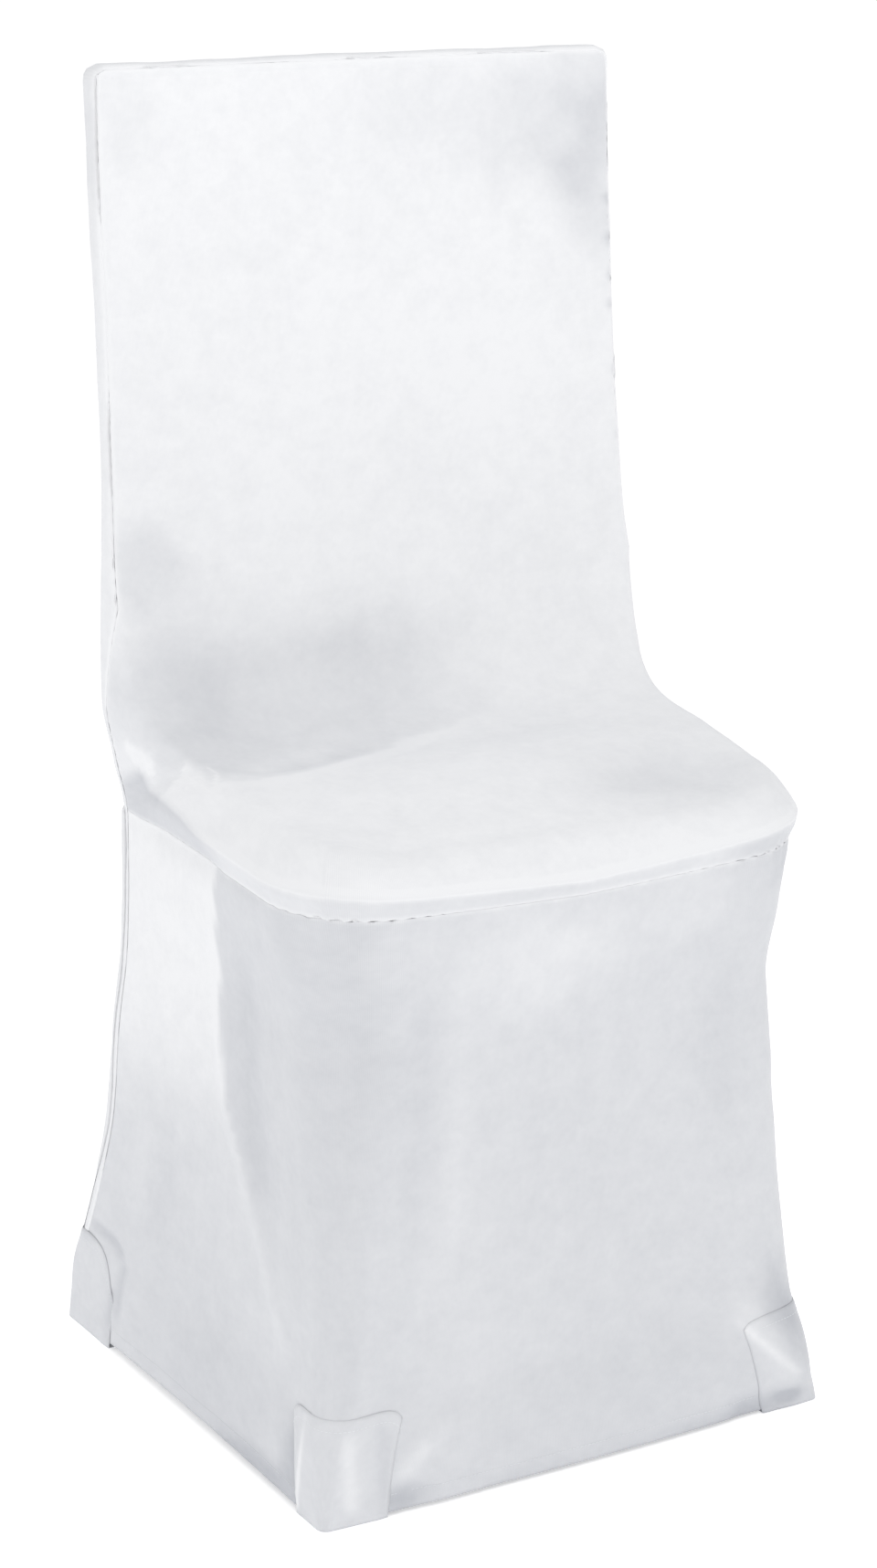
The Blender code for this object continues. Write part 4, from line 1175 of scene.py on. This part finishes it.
def inside_panel():
    left = slab_side_stations() + bend_stations()
    arc_start = len(left) - 1
    left += seat_front_stations()
    right = [flipped(station) for station in left]
    corner = arc_start + CORNER_STEPS // 2
    front = left[corner:] + right[corner:-1][::-1]
    top = [left[0]] + slab_top_stations() + [right[0]]
    rows, columns = corner + 1, len(front)
    front_x = np.array([station["crest"][0] for station in front])
    top_x = np.array([station["crest"][0] for station in top])
    front_share = (front_x - front_x[0]) / (front_x[-1] - front_x[0])
    top_share = (top_x - top_x[0]) / (top_x[-1] - top_x[0])
    stops = np.array([left[i]["stop"] for i in range(rows)])

    flat = np.zeros((rows, columns, 3))
    shares = np.zeros((rows, columns))
    across_front = right[corner]["crest"] - left[corner]["crest"]
    for i in range(rows):
        a, b = left[i]["crest"], right[i]["crest"]
        place = stops[i] / LAST_STOP
        pull = max(0.0, (stops[i] - FRONT_BOW_STOP) / (LAST_STOP - FRONT_BOW_STOP)) ** 2
        for j in range(columns):
            share = top_share[j] * (1 - place) + front_share[j] * place
            straight = left[corner]["crest"] + across_front * front_share[j]
            flat[i, j] = a + (b - a) * share + (front[j]["crest"] - straight) * pull
            shares[i, j] = share
    for j in range(columns):
        flat[0, j] = top[j]["crest"]

    sheet = Sheet("inside")
    down = run_along(flat[:, columns // 2])
    index = []
    for i in range(rows):
        row = []
        for j in range(columns):
            sideways = min(shares[i, j] * WIDTH_STOPS, (1 - shares[i, j]) * WIDTH_STOPS)
            lengthways = min(stops[i], LAST_STOP - stops[i])
            hold = float(smooth(min(sideways, lengthways, HOLD_STOPS) / HOLD_STOPS))
            row.append(sheet.add(flat[i, j], (flat[i, j][0], -down[i]), hold))
        index.append(row)
    sheet.grid(index)
    normals = sheet.normals()
    for i in range(1, rows - 1):
        rise = column(RISE, RISE_COLUMNS, "rise", stops[i] / LAST_STOP)
        for j in range(1, columns - 1):
            k = index[i][j]
            sheet.points[k] = flat[i, j] + normals[k] * rise * (1 - (2 * shares[i, j] - 1) ** 2)

    loop = [(left[i], index[i][0], (-1, 0)) for i in range(corner)]
    loop += [(front[j], index[-1][j], (0, -1)) for j in range(columns)]
    loop += [(right[i], index[i][-1], (1, 0)) for i in range(corner - 1, -1, -1)]
    loop += [(top[j], index[0][j], (0, 1)) for j in range(columns - 2, 0, -1)]
    strips, seam_line = [], []
    for station, start, way in loop:
        points = edge_points(station)
        seam = points.pop()
        points += seam_turn(seam, station["normal"], station["inwards"])
        seam_line.append(seam)
        strip = sheet.strip(start, points, way, 0.0)
        strips.append(strip)
        # Painted shade on the band below the seat's rim, darker on the wedge where its side tucks in, and a
        # painted highlight along the rim.
        weight = column(RIM, RIM_COLUMNS, "weight", station["stop"])
        wedge = wedge_weight(station["stop"])
        band = BAND_PAINTED_SHADE * weight
        band += (WEDGE_PAINTED_SHADE - band) * wedge
        for past, k in enumerate(strip[1:], 1 - RIM_TOP_STEPS):
            sheet.below_rim[k] = float(smooth((past + BAND_BEFORE) / BAND_RISE)) * band
            sheet.painted_highlight_on_rim[k] = weight * (1 - wedge) * math.exp(-(past / RIM_HIGHLIGHT_ROWS) ** 2)
    sheet.join(strips + strips[:1])
    sheet.seam_lines.append(np.array(seam_line))
    for side in (-1, 1):
        relaxed(sheet, vector(*RELAX_MIDDLE) * (side, 1, 1), RELAX_REACH, RELAX_TIMES)
    return sheet


# Outside back.

def wall_inset(y, station):
    centre_y = station["seam"][1] + FRONT_ROUND * math.cos(station["turn"])
    behind = max(centre_y - y, 0.0)
    return FRONT_ROUND - math.sqrt(max(FRONT_ROUND ** 2 - behind ** 2, 0.0))


def slab_wall_points(station):
    """Round the rear edge of the back and forward along its thickness to the seam."""
    outline, out, rear_y = station["outline"], station["out"], station["rear_y"]
    points = []
    for angle in (18.0, 36.0, 54.0, 72.0, 90.0):
        turn = math.radians(angle)
        point = outline - out * REAR_ROUND * (1 - math.sin(turn))
        points.append(vector(point[0], rear_y - REAR_ROUND * (1 - math.cos(turn)), point[2]))
    inwards = -out * math.cos(station["turn"]) - vector(0, math.sin(station["turn"]), 0)
    seam = station["seam"] - inwards * SEAM_GAP / 2
    start = rear_y - REAR_ROUND
    for share in (0.2, 0.4, 0.6, 0.75, 0.88):
        y = start + (seam[1] - start) * share
        point = outline - out * wall_inset(y, station)
        points.append(vector(point[0], y, point[2]))
    return points + seam_turn(seam, station["normal"], -inwards), seam


def rear_wall_points(height):
    wrap = REAR_WRAP / side_length(height)
    points = [section_point(height, "rear_corner", share)[0] for share in (0.8, 0.6, 0.4, 0.2)]
    points += [section_point(height, "side", wrap * share)[0] for share in (0.0, 0.2, 0.4, 0.5, 0.6, 0.7)]
    seam = section_point(height, "side", wrap)[0]
    seam[1] += SEAM_GAP / 2
    return points + seam_turn(seam, vector(-1, 0, 0), vector(0, 1, 0)), seam


def outside_panel():
    above = slab_side_stations() + [s for s in bend_stations() if s["row"] <= JUNCTION_ROW]
    top = [above[0]] + slab_top_stations() + [flipped(above[0])]
    columns = len(top)
    top_x = np.array([station["outline"][0] for station in top])
    shares = top_x / top_x[-1]
    sheet = Sheet("outside")
    index, walls = [], []
    for station in above:
        inset = station["outline"] - station["out"] * REAR_ROUND
        edge = vector(inset[0], station["rear_y"], inset[2])
        row = [sheet.add(edge * (-share, 1, 1), (-edge[0] * share, edge[2])) for share in shares]
        index.append(row)
        walls.append(slab_wall_points(station))
    for j in range(1, columns - 1):
        outline = top[j]["outline"]
        sheet.points[index[0][j]] = vector(outline[0], top[j]["rear_y"], outline[2] - REAR_ROUND)
    for step in range(1, SKIRT_STEPS + 1):
        row, share_down = [], step / SKIRT_STEPS
        height = JUNCTION_Z + (HEM_CLEAR - JUNCTION_Z) * share_down
        for share in shares:
            point = section_point(height, "rear", abs(share))[0]
            point[0] = -math.copysign(point[0], -share)
            row.append(sheet.add(point, (point[0], point[2])))
        index.append(row)
        walls.append(rear_wall_points(height))
    sheet.grid(index, turned=True)
    sheet.hem_lines.append(np.array([sheet.points[k] for k in index[-1]]))

    loop = [(walls[i], index[i][0], 1, (-1, 0)) for i in range(len(index) - 1, -1, -1)]
    for j in range(1, columns - 1):
        loop.append((slab_wall_points(top[j]), index[0][j], 1, (0, 1)))
    loop += [(walls[i], index[i][-1], -1, (1, 0)) for i in range(len(index))]
    strips, seam_line = [], []
    for (points, seam), start, side, way in loop:
        strips.append(sheet.strip(start, [point * (side, 1, 1) for point in points], way))
        seam_line.append(seam * (side, 1, 1))
    sheet.join(strips)
    sheet.seam_lines.append(np.array(seam_line))
    return sheet


# Skirt.

def skirt_columns():
    columns = []
    for station in bend_stations():
        if station["row"] < JUNCTION_ROW:
            continue
        y, z = station["seam"][1], station["seam"][2]
        share = (rear("rear_y", z) - REAR_ROUND - y) / side_length(z)
        columns.append((z, "side", share, station["normal"]))
    for station in seat_front_stations():
        columns.append((station["seam"][2], station["segment"], station["share"], station["normal"]))
    return columns


def skirt_panel():
    left = skirt_columns()
    first_share = left[0][2]
    around = [(entry, 1) for entry in left] + [(entry, -1) for entry in left[:-1][::-1]]
    sheet = Sheet("skirt")
    table = []
    for step in range(SKIRT_STEPS + 1):
        share_down = step / SKIRT_STEPS
        row = []
        for (seam_z, segment, share, normal), side in around:
            hem = hem_height(segment, share)
            height = seam_z - SEAM_GAP / 2 + (hem - seam_z) * share_down
            place = share
            if segment == "side":
                wrap = REAR_WRAP / side_length(height)
                place = wrap + (1 - wrap) * (share - first_share) / (1 - first_share)
            point = section_point(height, segment, place)[0]
            if segment == "side" and share == first_share:
                point[1] -= SEAM_GAP / 2
            row.append(point * (side, 1, 1))
        table.append(row)
    flat = np.array(table)
    around_run = run_along(flat[SKIRT_STEPS // 2])
    around_run -= around_run[-1] / 2
    columns = len(around)
    index = []
    for i, row in enumerate(table):
        indexed = []
        for j, point in enumerate(row):
            from_edge = min(i, SKIRT_STEPS - i, j, columns - 1 - j)
            hold = float(smooth(from_edge / SKIRT_HOLD_STEPS))
            fold_hold = float(smooth((HOLD_BELOW - point[2]) / HOLD_FADE))
            indexed.append(sheet.add(point, (around_run[j], point[2]), hold, fold_hold))
        index.append(indexed)
    turned_in = []
    for j, ((seam_z, segment, share, normal), side) in enumerate(around):
        seam = flat[0, j]
        inwards = unit(flat[1, j] - flat[0, j])
        points = seam_turn(seam, normal * (side, 1, 1), inwards)
        strip = [index[0][j]]
        for number, point in enumerate(points):
            place = (around_run[j], seam[2] + number * TURN_MAP_STEP)
            strip.append(sheet.add(point, place, 0.0))
        turned_in.append(strip[::-1])
    for k, below in zip(index[0], index[1]):
        sheet.points[k] = sheet.points[k] * SEAM_EASE + sheet.points[below] * (1 - SEAM_EASE)
    sheet.join(turned_in)
    sheet.grid(index)
    for j, side, turned in ((0, 1, False), (columns - 1, -1, True)):
        strips = []
        for i in range(len(index)):
            k = index[i][j]
            seam = flat[i, j]
            points = seam_turn(seam, vector(-side, 0, 0), vector(0, -1, 0))
            run = around_run[j] - side * TURN_MAP_STEP
            strips.append([k] + [sheet.add(p, (run, seam[2]), 0.0) for p in points])
            nearer = sheet.points[index[i][j + side]]
            sheet.points[k] = sheet.points[k] * SEAM_EASE + nearer * (1 - SEAM_EASE)
        for a, b in zip(strips, strips[1:]):
            for n in range(len(a) - 1):
                face = (a[n + 1], b[n + 1], b[n], a[n])
                sheet.faces.append(face if not turned else face[::-1])
    sheet.seam_lines.append(flat[0].copy())
    sheet.hem_lines.append(np.array([sheet.points[k] for k in index[-1]]))
    return sheet


# Foot pockets.

def pocket_outline(end, side_reach, end_reach):
    floor_side = side_length(0.0)
    columns = []
    for step in range(POCKET_STEPS // 2):
        share = side_reach / floor_side * (1 - step / (POCKET_STEPS // 2))
        columns.append(("side", 1 - share if end == "front" else share))
    for step in range(POCKET_CORNER_STEPS + 1):
        share = step / POCKET_CORNER_STEPS
        columns.append((end + "_corner", share if end == "front" else 1 - share))
    half = rear("half_width", 0.0) if end == "rear" else skirt_front("half_width", 0.0)
    for step in range(1, POCKET_STEPS // 2 + 1):
        share = end_reach / half * step / (POCKET_STEPS // 2)
        columns.append((end, share if end == "front" else 1 - share))
    return columns


def pocket_wall(sizes, columns, side, outside):
    """One face of a cup's wall, column by column, from its upper edge to the floor."""
    drop, sharpness = POCKET_DROP[sizes["end"]]
    floor = 0.0 if outside else POCKET_CLOTH
    wall = []
    for j, (segment, share) in enumerate(columns):
        along = 2 * j / (len(columns) - 1) - 1
        top = sizes["height"] * (1 - drop * along ** sharpness)
        from_end = min(j, len(columns) - 1 - j) * POCKET_COLUMN
        points, outs = [], []
        for step in range(POCKET_STEPS + 1):
            level = floor + (top - floor) * (1 - step / POCKET_STEPS)
            near_edge = min(top - level, from_end)
            full = float(smooth(near_edge / POCKET_EDGE_RISE))
            grow = POCKET_GAP + OVER_HEM * float(smooth((OVER_HEM_TO - level) / OVER_HEM_FADE))
            if outside:
                hem = float(smooth((POCKET_HEM - near_edge) / POCKET_HEM_RISE + 0.5))
                grow += POCKET_EDGE + (POCKET_CLOTH - POCKET_EDGE) * full + POCKET_HEM_STEP * hem * full
            point, out = section_point(level, segment, share, grow)
            points.append(point)
            outs.append(out)
        placed = np.array(points) * (side, 1, 1)
        held = smooth((placed[:, 2] - HEM_CLEAR) / POCKET_HELD)
        lift = folds_on("pocket", placed) + unevenness(placed) * np.minimum(held * UNEVEN_HOLD_RATE, 1)
        wall.append([p + o * float(l) for p, o, l in zip(points, outs, lift)])
    return wall


def pocket(name, row, side):
    """One cup: its wall, its sole and a narrow hem along its upper edge."""
    sizes = dict(zip(POCKET_COLUMNS, row))
    end, height = sizes["end"], sizes["height"]
    columns = pocket_outline(end, sizes["side_reach"], sizes["end_reach"])
    ends = [section_point(0.0, *columns[j], POCKET_GAP - SOLE_INSET)[0] for j in (0, -1)]
    layers = []
    for outside, floor in ((True, 0.0), (False, POCKET_CLOTH)):
        layer = pocket_wall(sizes, columns, side, outside)
        for j, strip in enumerate(layer):
            wall = strip[-1]
            chord = ends[0] + (ends[1] - ends[0]) * j / (len(columns) - 1)
            for step in range(1, SOLE_STEPS + 1):
                point = wall + (chord - wall) * step / SOLE_STEPS
                strip.append(vector(point[0], point[1], floor))
        layers.append(np.array(layer) * (side, 1, 1))
    outer, inner = layers
    width, depth = outer.shape[:2]
    run = run_along(outer[:, 0])
    fall = run_along(outer[width // 2])
    maps = [(run[j], -fall[i]) for j in range(width) for i in range(depth)]
    faces = []
    for i in range(depth - 1):
        for j in range(width - 1):
            face = (j * depth + i, j * depth + i + 1, (j + 1) * depth + i + 1, (j + 1) * depth + i)
            faces.append(face if (end == "front") == (side == 1) else face[::-1])
    outside = outer.reshape(-1, 3)
    thing = closed_mesh(name, outside, inner.reshape(-1, 3), faces, maps, painted_shade_at("pocket", outside))
    stitch_step = round(POCKET_HEM / (height / POCKET_STEPS))
    line = outer[:, stitch_step]
    return thing, line, unit_rows(line - inner[:, stitch_step])


# Stitches, laid along a line by Geometry Nodes.

def stitch_shape():
    """One stitch: a short rounded bar of thread."""
    mesh = bpy.data.meshes.new("stitch_shape")
    shape = bmesh.new()
    bmesh.ops.create_uvsphere(shape, u_segments=6, v_segments=5, radius=0.5)
    for vertex in shape.verts:
        x, y, z = vertex.co
        vertex.co = (z * STITCH_LENGTH, x * STITCH_WIDTH, y * STITCH_WIDTH * STITCH_FLATNESS)
    bmesh.ops.recalc_face_normals(shape, faces=shape.faces)
    shape.to_mesh(mesh)
    shape.free()
    return bpy.data.objects.new("stitch_shape", mesh)


def stitch_tree(shape, thread):
    tree = bpy.data.node_groups.new("stitch_row", "GeometryNodeTree")
    face = tree.interface
    face.new_socket("Line", in_out="INPUT", socket_type="NodeSocketGeometry")
    pitch = face.new_socket("Pitch", in_out="INPUT", socket_type="NodeSocketFloat")
    size = face.new_socket("Stitch size", in_out="INPUT", socket_type="NodeSocketFloat")
    face.new_socket("Stitches", in_out="OUTPUT", socket_type="NodeSocketGeometry")
    nodes, links = tree.nodes, tree.links
    start = nodes.new("NodeGroupInput")
    end = nodes.new("NodeGroupOutput")
    to_curve = nodes.new("GeometryNodeMeshToCurve")
    resample = nodes.new("GeometryNodeResampleCurve")
    resample.mode = "LENGTH"
    tangent = nodes.new("GeometryNodeInputTangent")
    outward = nodes.new("GeometryNodeInputNamedAttribute")
    outward.data_type = "FLOAT_VECTOR"
    outward.inputs["Name"].default_value = "outward"
    along = nodes.new("FunctionNodeAlignRotationToVector")
    along.axis = "X"
    upright = nodes.new("FunctionNodeAlignRotationToVector")
    upright.axis = "Z"
    upright.pivot_axis = "X"
    stitch = nodes.new("GeometryNodeObjectInfo")
    stitch.inputs["Object"].default_value = shape
    place = nodes.new("GeometryNodeInstanceOnPoints")
    realize = nodes.new("GeometryNodeRealizeInstances")
    finish = nodes.new("GeometryNodeSetMaterial")
    finish.inputs["Material"].default_value = thread
    links.new(start.outputs["Line"], to_curve.inputs["Mesh"])
    links.new(to_curve.outputs["Curve"], resample.inputs["Curve"])
    links.new(start.outputs["Pitch"], resample.inputs["Length"])
    links.new(resample.outputs["Curve"], place.inputs["Points"])
    links.new(stitch.outputs["Geometry"], place.inputs["Instance"])
    links.new(tangent.outputs["Tangent"], along.inputs["Vector"])
    links.new(along.outputs["Rotation"], upright.inputs["Rotation"])
    links.new(outward.outputs["Attribute"], upright.inputs["Vector"])
    links.new(upright.outputs["Rotation"], place.inputs["Rotation"])
    links.new(start.outputs["Stitch size"], place.inputs["Scale"])
    links.new(place.outputs["Instances"], realize.inputs["Geometry"])
    links.new(realize.outputs["Geometry"], finish.inputs["Geometry"])
    links.new(finish.outputs["Geometry"], end.inputs["Stitches"])
    return tree, pitch.identifier, size.identifier


def stitch_row(name, line, outward, shape, thread):
    """A row of stitches on a line, each turned to lie on the cloth."""
    tree, pitch, size = stitch_tree(shape, thread)
    guide = bpy.data.meshes.new(name + "_guide")
    count = len(line)
    guide.from_pydata([tuple(p) for p in line], [(k, k + 1) for k in range(count - 1)], [])
    layer = guide.attributes.new("outward", "FLOAT_VECTOR", "POINT")
    layer.data.foreach_set("vector", np.array(outward).ravel())
    thing = bpy.data.objects.new(name, guide)
    bpy.context.scene.collection.objects.link(thing)
    row = thing.modifiers.new("stitches", "NODES")
    row.node_group = tree
    row[pitch] = STITCH_PITCH
    row[size] = 1.0
    depsgraph = bpy.context.evaluated_depsgraph_get()
    made = bpy.data.meshes.new_from_object(thing.evaluated_get(depsgraph))
    thing.modifiers.remove(row)
    thing.data = made
    made.name = name
    bpy.data.meshes.remove(guide)
    return thing


# Materials.

def wave_texture(nodes, direction, scale, distortion):
    wave = nodes.new("ShaderNodeTexWave")
    wave.wave_type = "BANDS"
    wave.bands_direction = direction
    wave.wave_profile = "SIN"
    wave.inputs["Scale"].default_value = scale
    wave.inputs["Distortion"].default_value = distortion
    return wave


def noise_texture(nodes, scale, detail):
    texture = nodes.new("ShaderNodeTexNoise")
    texture.inputs["Scale"].default_value = scale
    texture.inputs["Detail"].default_value = detail
    return texture


def colour_mix(nodes, first, second):
    mix = nodes.new("ShaderNodeMix")
    mix.data_type = "RGBA"
    mix.inputs["A"].default_value = first
    mix.inputs["B"].default_value = second
    return mix


def bump_node(nodes, strength, depth):
    relief = nodes.new("ShaderNodeBump")
    relief.inputs["Strength"].default_value = strength
    relief.inputs["Distance"].default_value = depth
    return relief


def stretch_cloth(name, white, shade, warp):
    """A satin-like stretch knit: fine wales, faint cloudiness, a soft sheen and the mesh's painted shade."""
    material = bpy.data.materials.new(name)
    material.use_nodes = True
    tree = material.node_tree
    nodes, links = tree.nodes, tree.links
    shader = nodes["Principled BSDF"]
    shader.inputs["Metallic"].default_value = 0.0
    shader.inputs["Specular IOR Level"].default_value = 0.35
    shader.inputs["Sheen Weight"].default_value = 0.22
    shader.inputs["Sheen Roughness"].default_value = 0.45
    shader.inputs["Sheen Tint"].default_value = (0.95, 0.97, 1.0, 1.0)
    place = nodes.new("ShaderNodeUVMap")
    place.uv_map = "cloth_place"
    wales = wave_texture(nodes, "X", WAVE_SCALE / KNIT_WALE, 0.6)
    wales.inputs["Detail"].default_value = 1.0
    wales.inputs["Detail Scale"].default_value = 2.0
    courses = wave_texture(nodes, "Y", WAVE_SCALE / KNIT_COURSE, 0.4)
    grain = noise_texture(nodes, 420.0, 2.0)
    cloud = noise_texture(nodes, 7.0, 3.0)
    spots = noise_texture(nodes, 48.0, 4.0)
    spots.inputs["Roughness"].default_value = 0.62
    specks = noise_texture(nodes, 170.0, 2.0)
    for texture in (wales, courses, grain, cloud, spots, specks):
        links.new(place.outputs["UV"], texture.inputs["Vector"])

    # The painted shade from the mesh, made uneven by the nap.
    painted_shade_node = nodes.new("ShaderNodeAttribute")
    painted_shade_node.attribute_name = "painted_cloth_shade"
    total = painted_shade_node.outputs["Fac"]
    for texture, amount in zip((cloud, spots, specks), MOTTLE):
        mottled = nodes.new("ShaderNodeMath")
        mottled.operation = "MULTIPLY_ADD"
        mottled.inputs[1].default_value = amount
        links.new(texture.outputs["Fac"], mottled.inputs[0])
        links.new(total, mottled.inputs[2])
        total = mottled.outputs["Value"]
    level = nodes.new("ShaderNodeMath")
    level.operation = "SUBTRACT"
    level.inputs[1].default_value = sum(MOTTLE) / 2
    scaled = nodes.new("ShaderNodeMath")
    scaled.operation = "DIVIDE"
    scaled.use_clamp = True
    scaled.inputs[1].default_value = PAINTED_SHADE_FULL
    tint = colour_mix(nodes, (*white, 1.0), (*shade, 1.0))
    links.new(total, level.inputs[0])
    links.new(level.outputs["Value"], scaled.inputs[0])
    links.new(scaled.outputs["Value"], tint.inputs["Factor"])

    # The loops of the knit, a little darker between them.
    loops = nodes.new("ShaderNodeMath")
    loops.operation = "MULTIPLY"
    between_loops = colour_mix(nodes, (0.93, 0.93, 0.94, 1.0), (1.0, 1.0, 1.0, 1.0))
    both = nodes.new("ShaderNodeMix")
    both.data_type = "RGBA"
    both.blend_type = "MULTIPLY"
    both.inputs["Factor"].default_value = 1.0
    links.new(wales.outputs["Fac"], loops.inputs[0])
    links.new(courses.outputs["Fac"], loops.inputs[1])
    links.new(loops.outputs["Value"], between_loops.inputs["Factor"])
    links.new(tint.outputs["Result"], both.inputs["A"])
    links.new(between_loops.outputs["Result"], both.inputs["B"])
    links.new(both.outputs["Result"], shader.inputs["Base Color"])

    gloss = nodes.new("ShaderNodeMapRange")
    gloss.inputs["To Min"].default_value = 0.50
    gloss.inputs["To Max"].default_value = 0.60
    links.new(grain.outputs["Fac"], gloss.inputs["Value"])
    links.new(gloss.outputs["Result"], shader.inputs["Roughness"])

    # Slubs along the cloth, and the knit's relief over them.
    stretch = nodes.new("ShaderNodeMapping")
    stretch.inputs["Scale"].default_value = (1.0, warp, 1.0)
    slubs = noise_texture(nodes, 60.0, 2.0)
    slub = bump_node(nodes, 0.30, SLUB_DEPTH)
    knit = bump_node(nodes, 0.35, KNIT_DEPTH)
    links.new(place.outputs["UV"], stretch.inputs["Vector"])
    links.new(stretch.outputs["Vector"], slubs.inputs["Vector"])
    links.new(slubs.outputs["Fac"], slub.inputs["Height"])
    links.new(loops.outputs["Value"], knit.inputs["Height"])
    links.new(slub.outputs["Normal"], knit.inputs["Normal"])
    links.new(knit.outputs["Normal"], shader.inputs["Normal"])
    return material


def thread_finish():
    material = bpy.data.materials.new("sewing_thread")
    material.use_nodes = True
    tree = material.node_tree
    nodes, links = tree.nodes, tree.links
    shader = nodes["Principled BSDF"]
    shader.inputs["Metallic"].default_value = 0.0
    shader.inputs["Sheen Weight"].default_value = 0.15
    place = nodes.new("ShaderNodeTexCoord")
    fibre = nodes.new("ShaderNodeTexNoise")
    fibre.inputs["Scale"].default_value = 900.0
    tint = colour_mix(nodes, (*THREAD_SHADE, 1.0), (*THREAD_WHITE, 1.0))
    gloss = nodes.new("ShaderNodeMapRange")
    gloss.inputs["To Min"].default_value = 0.42
    gloss.inputs["To Max"].default_value = 0.58
    links.new(place.outputs["Object"], fibre.inputs["Vector"])
    links.new(fibre.outputs["Fac"], tint.inputs["Factor"])
    links.new(tint.outputs["Result"], shader.inputs["Base Color"])
    links.new(fibre.outputs["Fac"], gloss.inputs["Value"])
    links.new(gloss.outputs["Result"], shader.inputs["Roughness"])
    return material


# The cover.

def hem_stitch_line(sheet_object, hem_line, outward):
    """A line on the finished cloth, one hem's depth above its lower edge."""
    mesh = sheet_object.data
    count = len(mesh.vertices) // 2
    points = np.empty(len(mesh.vertices) * 3)
    mesh.vertices.foreach_get("co", points)
    points = points.reshape(-1, 3)[:count]
    tree = search_tree(points)
    line = []
    for point, out in zip(hem_line, outward):
        raised = point + vector(0, 0, HEM_DEPTH)
        found, which, away = tree.find(Vector(raised))
        offset = float(np.dot(np.array(found) - raised, out))
        line.append(raised + out * (offset + STITCH_WIDTH * HEM_STITCH_STANDS - STITCH_SINK))
    return np.array(line)


def hand_over(thing, name, rows, thread):
    """Says which part a finished sheet replaces, and gives its stitches to it."""
    for row in rows:
        row.data.materials.clear()
        row.data.materials.append(thread)
        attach(row, "root")
    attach(thing, "root")
    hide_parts(name)


def build_panels(shape, thread):
    makers = {"inside_back_and_seat": inside_panel, "outside_back": outside_panel, "skirt": skirt_panel}
    for name, make in makers.items():
        sheet = make()
        thing = sewn(sheet, name + "_sheet")
        thing.data.materials.append(stretch_cloth(name + "_knit", CLOTH_WHITE, CLOTH_PAINTED_SHADE, PANEL_WARP))
        rows = []
        for hem_line in sheet.hem_lines:
            outward = unit_rows(np.cross(np.gradient(hem_line, axis=0), vector(0, 0, -1)) * (1, 1, 0))
            if name == "outside_back":
                outward = np.tile(vector(0, 1, 0), (len(hem_line), 1))
            line = hem_stitch_line(thing, hem_line, outward)
            rows.append(stitch_row(name + "_hem_stitches", line, outward, shape, thread))
        hand_over(thing, name, rows, thread)


def build_pockets(shape, thread):
    for row in POCKETS:
        for side, word in ((1, "left"), (-1, "right")):
            name = "foot_pocket_" + row[0] + "_" + word
            thing, line, outward = pocket(name + "_sheet", row, side)
            thing.data.materials.append(stretch_cloth(name + "_knit", CLOTH_WHITE, CLOTH_PAINTED_SHADE, POCKET_WARP))
            line = line + outward * (STITCH_WIDTH * POCKET_STITCH_STANDS - STITCH_SINK)
            stitches = stitch_row(name + "_stitches", line, outward, shape, thread)
            hand_over(thing, name, [stitches], thread)


def build_cover():
    thread = thread_finish()
    shape = stitch_shape()
    build_panels(shape, thread)
    build_pockets(shape, thread)
    bpy.data.objects.remove(shape)


# Floor, light and camera.

def studio_floor():
    mesh = bpy.data.meshes.new("studio_floor")
    signs = ((-1, -1), (1, -1), (1, 1), (-1, 1))
    corners = [(x * FLOOR_HALF, y * FLOOR_HALF, -FLOOR_DROP) for x, y in signs]
    mesh.from_pydata(corners, [], [(0, 1, 2, 3)])
    floor = bpy.data.objects.new("studio_floor", mesh)
    bpy.context.scene.collection.objects.link(floor)
    material = bpy.data.materials.new("pale_floor")
    material.use_nodes = True
    shader = material.node_tree.nodes["Principled BSDF"]
    shader.inputs["Base Color"].default_value = FLOOR_COLOUR
    shader.inputs["Emission Color"].default_value = (1.0, 1.0, 1.0, 1.0)
    shader.inputs["Emission Strength"].default_value = FLOOR_GLOW
    shader.inputs["Roughness"].default_value = 0.9
    shader.inputs["Specular IOR Level"].default_value = 0.0
    mesh.materials.append(material)


def studio_light():
    for row in LIGHTS:
        light = dict(zip(LIGHT_COLUMNS, row))
        data = bpy.data.lights.new(light["name"], "AREA")
        data.energy = light["power"]
        data.size = light["size"]
        thing = bpy.data.objects.new(light["name"], data)
        place = Vector(light["place"])
        thing.location = place
        thing.rotation_euler = (Vector(light["aim"]) - place).to_track_quat("-Z", "Y").to_euler()
        bpy.context.scene.collection.objects.link(thing)
    world = bpy.data.worlds.new("studio_world")
    world.use_nodes = True
    background = world.node_tree.nodes["Background"]
    background.inputs["Color"].default_value = (1.0, 1.0, 1.0, 1.0)
    background.inputs["Strength"].default_value = WORLD_STRENGTH
    bpy.context.scene.world = world


def studio_camera():
    data = bpy.data.cameras.new("photo_camera")
    data.sensor_width = 36.0
    data.sensor_fit = "AUTO"
    data.lens = CAMERA_LENS
    data.clip_end = 200.0
    camera = bpy.data.objects.new("photo_camera", data)
    camera.location = CAMERA_PLACE
    yaw, pitch = math.radians(CAMERA_YAW), math.radians(CAMERA_PITCH)
    camera.rotation_euler = (math.pi / 2 - pitch, 0.0, -yaw)
    bpy.context.scene.collection.objects.link(camera)
    bpy.context.scene.camera = camera
    bpy.context.scene.view_settings.view_transform = "Standard"


noise.seed_set(NOISE_SEED)
build_cover()
studio_floor()
studio_light()
studio_camera()
